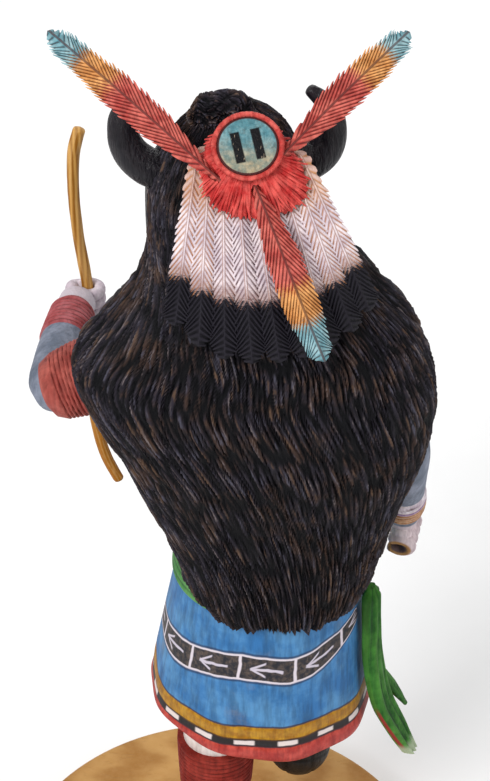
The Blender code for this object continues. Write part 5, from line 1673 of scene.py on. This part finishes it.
# %% Turn the rosette
def make_rosette():
    """Disc with a rounded rim, a sunk field and its pin."""
    sides = 120
    angles = circle(sides)
    level = TUFT_LEVEL + TUFT_THICK + PLAY
    thick, inner = 0.0022, ROSETTE - 0.0014
    profile = [(DOWEL_RADIUS, -level - DOWEL_DEPTH + PLAY), (DOWEL_RADIUS, 0.0),
               (ROSETTE - 0.0006, 0.0)]
    for step in range(9):
        bend = math.pi * step / 8
        profile.append((ROSETTE - 0.0007 + 0.0007 * math.cos(bend * 0.98 - 0.1),
                        thick - 0.0009 + 0.00085 * math.sin(bend)))
    profile += [(inner - 0.0001, thick - 0.0006), (inner - 0.0004, thick - 0.00055),
                (0.7 * inner, thick - 0.0004), (0.4 * inner, thick - 0.0004),
                (0.1 * inner, thick - 0.0004)]
    rings, along, crests = [], [], []
    notch = np.abs(np.sin(angles * 21.0 + 0.9 * np.sin(3 * angles))) ** 0.5
    for radius, lift in profile:
        on_rim = 1.0 if radius > inner and lift > 0.0005 else 0.0
        edge = radius - on_rim * 0.00012 * (1.0 - notch)
        rings.append(crown_point(edge * np.cos(angles), edge * np.sin(angles), level + lift
                                 - on_rim * 0.00012 * (1.0 - notch)))
        along.append(np.stack([radius * np.cos(angles), radius * np.sin(angles),
                               np.full(sides, radius)], -1))
        crests.append(np.where(on_rim > 0, 0.35 + 0.65 * notch, 0.9))
    return skin("rosette_carving", rings, disc_paint, np.array(along), np.array(crests))


finish_piece(make_rosette(), "rosette_carving", "rosette", sharp=60.0)

# %% [markdown]
# ## Sash and shell
# The green sash hangs at the right hip: a folded strip whose lower end flares away from the
# kilt, with a short tail below it. The shell is a dark oval tied behind the knee, polished by
# handling, with the seams of its plates cut in.

# %% Sash
sash_paint, tree, shader, place, lie, rise = new_paint("green_sash", 0.55)
green = brush(tree, place, rgb(0.018, 0.085, 0.016), rgb(0.060, 0.190, 0.040), patch=120.0,
              streak=0.4, streak_scale=500.0)
across, walk, fold = add(tree, "SeparateXYZ", Vector=lie).outputs
# painted shade in the pleat hollows and a painted highlight on the crests of the folds
tone = shade_cuts_light_crests(tree, green["Colour"], rise, place, rgb(0.004, 0.018, 0.005),
               rgb(0.12, 0.26, 0.07), cut=0.9, crest=0.25, grit=700.0)
red_line = calc(tree, "MULTIPLY", band(tree, across, -1.2, -0.988, 0.008),
                fade(tree, walk, 0.046, 0.052))
edge = mix_paint(tree, red_line, tone, rgb(0.22, 0.035, 0.03))
tone = mix_paint(tree, fade(tree, walk, 0.066, 0.070), edge, rgb(0.34, 0.40, 0.28))
set_surface(tree, shader, tone, green["Height"], 0.0003, 0.6)
SASH_HALF = 2.6
# depth, height, distance from the kilt, share of the width
SASH = ((-8.0, 137.0, 0.0, 0.9), (-8.4, 123.0, 0.0, 1.0), (-8.2, 108.0, 0.1, 1.08),
        (-6.4, 90.0, 2.0, 1.2), (-4.0, 76.0, 6.4, 1.1), (-2.6, 65.0, 10.6, 0.55))
# distance from the sash, depth, height, radius
SASH_TAIL = ((1.4, -4.6, 100.0, 1.6), (4.9, -1.2, 89.0, 2.0), (9.3, 0.4, 79.5, 0.9))


def kilt_side(y, h):
    """Point on the kilt's right side at a depth and a height, and the way it faces."""
    table = np.array(KILT)
    centre, half, back = [np.interp(h, table[:, 0], table[:, k]) for k in (1, 2, 3)]
    along = (y - 4.0) / (4.0 - back)
    across = math.sqrt(1.0 - along * along)
    return np.array((centre + half * across, y)), unit(across / half, along / (4.0 - back))


def make_sash():
    """Folded strip with soft pleats beside the kilt, and its tail."""
    turn = circle(48)
    curve, walk = even_steps(spline(SASH, 10), 80, 2)
    rings, along, crests = [], [], []
    for (y, h, away, spread), step in zip(curve, walk):
        edge, facing = kilt_side(y, h)
        beside = np.array((-facing[1], facing[0]))
        centre = edge + facing * (2 * PLAY / MM + SASH_HALF + 0.45 + away)
        side = bulge(np.cos(turn), 0.7)
        pleat = 0.5 + 0.5 * np.cos(side * 8.5 + 0.06 * step)
        outer = np.clip(np.sin(turn), 0.0, 1.0) ** 0.4
        level = bulge(np.sin(turn), 0.6) * SASH_HALF
        end = 0.45 + 0.55 * float(ease(np.array(step), 0.0, 3.5))
        level = (level - 1.2 * outer * pleat) * end
        spot = centre + np.outer(4.25 * spread * side * end, beside) + np.outer(level, facing)
        rings.append(at(spot[:, 0], spot[:, 1], h))
        along.append(np.stack([side, np.full(48, step * MM), pleat], -1))
        crests.append(1.0 - 0.8 * outer * pleat ** 2)
    body = skin("sash", rings, sash_paint, np.array(along), np.array(crests))
    tail = []
    for away, y, h, radius in SASH_TAIL:
        edge, facing = kilt_side(y, h)
        tail.append((edge[0] + facing[0] * (SASH_HALF + away), y, h, radius))
    return joined([body, limb("sash_tail", tail, 20, 30, sash_paint, knife_marks(0.003, 0.0003))])


finish_piece(make_sash(), "sash_carving", "sash", sharp=60.0)

# %% Shell
shell_paint, tree, shader, place, lie, rise = new_paint("dark_shell", 0.45)
dark = brush(tree, place, rgb(0.003, 0.0025, 0.003), rgb(0.012, 0.008, 0.006), patch=220.0)
# the seams get their dark joint and painted shade, and the plates a faint painted highlight
tone = shade_cuts_light_crests(tree, dark["Colour"], rise, place, rgb(0.001, 0.001, 0.001),
               rgb(0.035, 0.028, 0.024), cut=0.9, crest=0.3, grit=700.0)
set_surface(tree, shader, tone, dark["Height"], 0.0002)


def make_shell():
    """Egg of a shell with the seams of its plates, hollowed to the leg and its garter."""
    turn = circle(72)
    rings, crests = [], []
    for lift in np.linspace(-math.pi / 2, math.pi / 2, 50)[1:-1]:
        x, z = np.cos(lift) * np.cos(turn), np.full(72, math.sin(lift))
        seam = np.minimum(np.abs(np.sin(3.0 * z * 1.5 + 0.2)), np.abs(np.abs(x) - 0.42) * 3.0)
        seam = ease(np.minimum(seam, 0.3), 0.0, 0.16)
        swell = 1.0 - 0.035 * (1.0 - seam)
        rings.append(np.stack([0.01025 * swell * x, 0.0085 * swell * np.cos(lift) * np.sin(turn),
                               0.0125 * swell * z], -1) + at(26.0, 1.5, 61.0))
        crests.append(seam)
    shell = skin("shell", rings, shell_paint, None, np.array(crests))
    leg = [(x, y, h, radius + 0.3) for x, y, h, radius in LEG_RIGHT]
    cut_out(shell, limb("room", leg, 36, 30, shell_paint))
    return cut_out(shell, garter("room", LEG_RIGHT, GARTER_RIGHT, shell_paint, 0.3))


finish_piece(make_shell(), "shell_carving", "turtle_shell", sharp=60.0)

# %% [markdown]
# ## Base
# A round plinth cut from a board and left in a tan stain. Its grain runs across the top, the
# edge is eased, and turning marks stay faintly on the side.

# %% Base
base_paint, tree, shader, place, lie, rise = new_paint("tan_base_wood", 0.6)
long_grain = add(tree, "Mapping", Vector=place, Scale=(0.35, 1.0, 1.0))
wood = use_group(tree, grained, Place=long_grain.outputs[0], Light=rgb(0.46, 0.27, 0.115),
                 Dark=rgb(0.31, 0.155, 0.055), Ring_Scale=42.0, Warp=6.0)
# painted shade in the turning marks and a faint painted highlight on their ridges
tone = shade_cuts_light_crests(tree, wood["Colour"], rise, place, rgb(0.13, 0.06, 0.02), rgb(0.62, 0.42, 0.22),
               cut=0.7, crest=0.2, grit=500.0)
set_surface(tree, shader, tone, wood["Height"], 0.0003, 0.5)


def make_base():
    """Plinth with eased edges, turning marks on its side and two peg holes."""
    sides = 180
    turn = circle(sides)
    radius, tall, ease_by = 0.0715, 0.015, 0.0025
    profile = [(radius - 0.4 * ease_by, 0.0), (radius - 0.1 * ease_by, 0.0003)]
    profile += [(radius - 0.00008 * (k % 2), 0.0009 + 0.0115 * k / 22) for k in range(23)]
    for bend in np.linspace(0.1, math.pi / 2, 8):
        inward, down = ease_by * (1.0 - math.cos(bend)), ease_by * (1.0 - math.sin(bend))
        profile.append((radius - inward, tall - down))
    profile += [(radius * share, tall) for share in (0.9, 0.7, 0.45, 0.2)]
    rings = [[(r * math.cos(a), r * math.sin(a), z) for a in turn] for r, z in profile]
    crests = [np.full(sides, 0.55 + 0.35 * (k % 2) if 2 <= k < 25 else 0.85)
              for k in range(len(profile))]
    base = skin("base", rings, base_paint, None, np.array(crests))
    for x, y in PEG_SPOTS:
        cut_out(base, pin("socket", (x, y, PEG_FOOT - PLAY), (x, y, PEG_TOP), PEG_RADIUS + PLAY,
                          24, base_paint))
    return base


finish_piece(make_base(), "base_carving", "base", sharp=40.0)
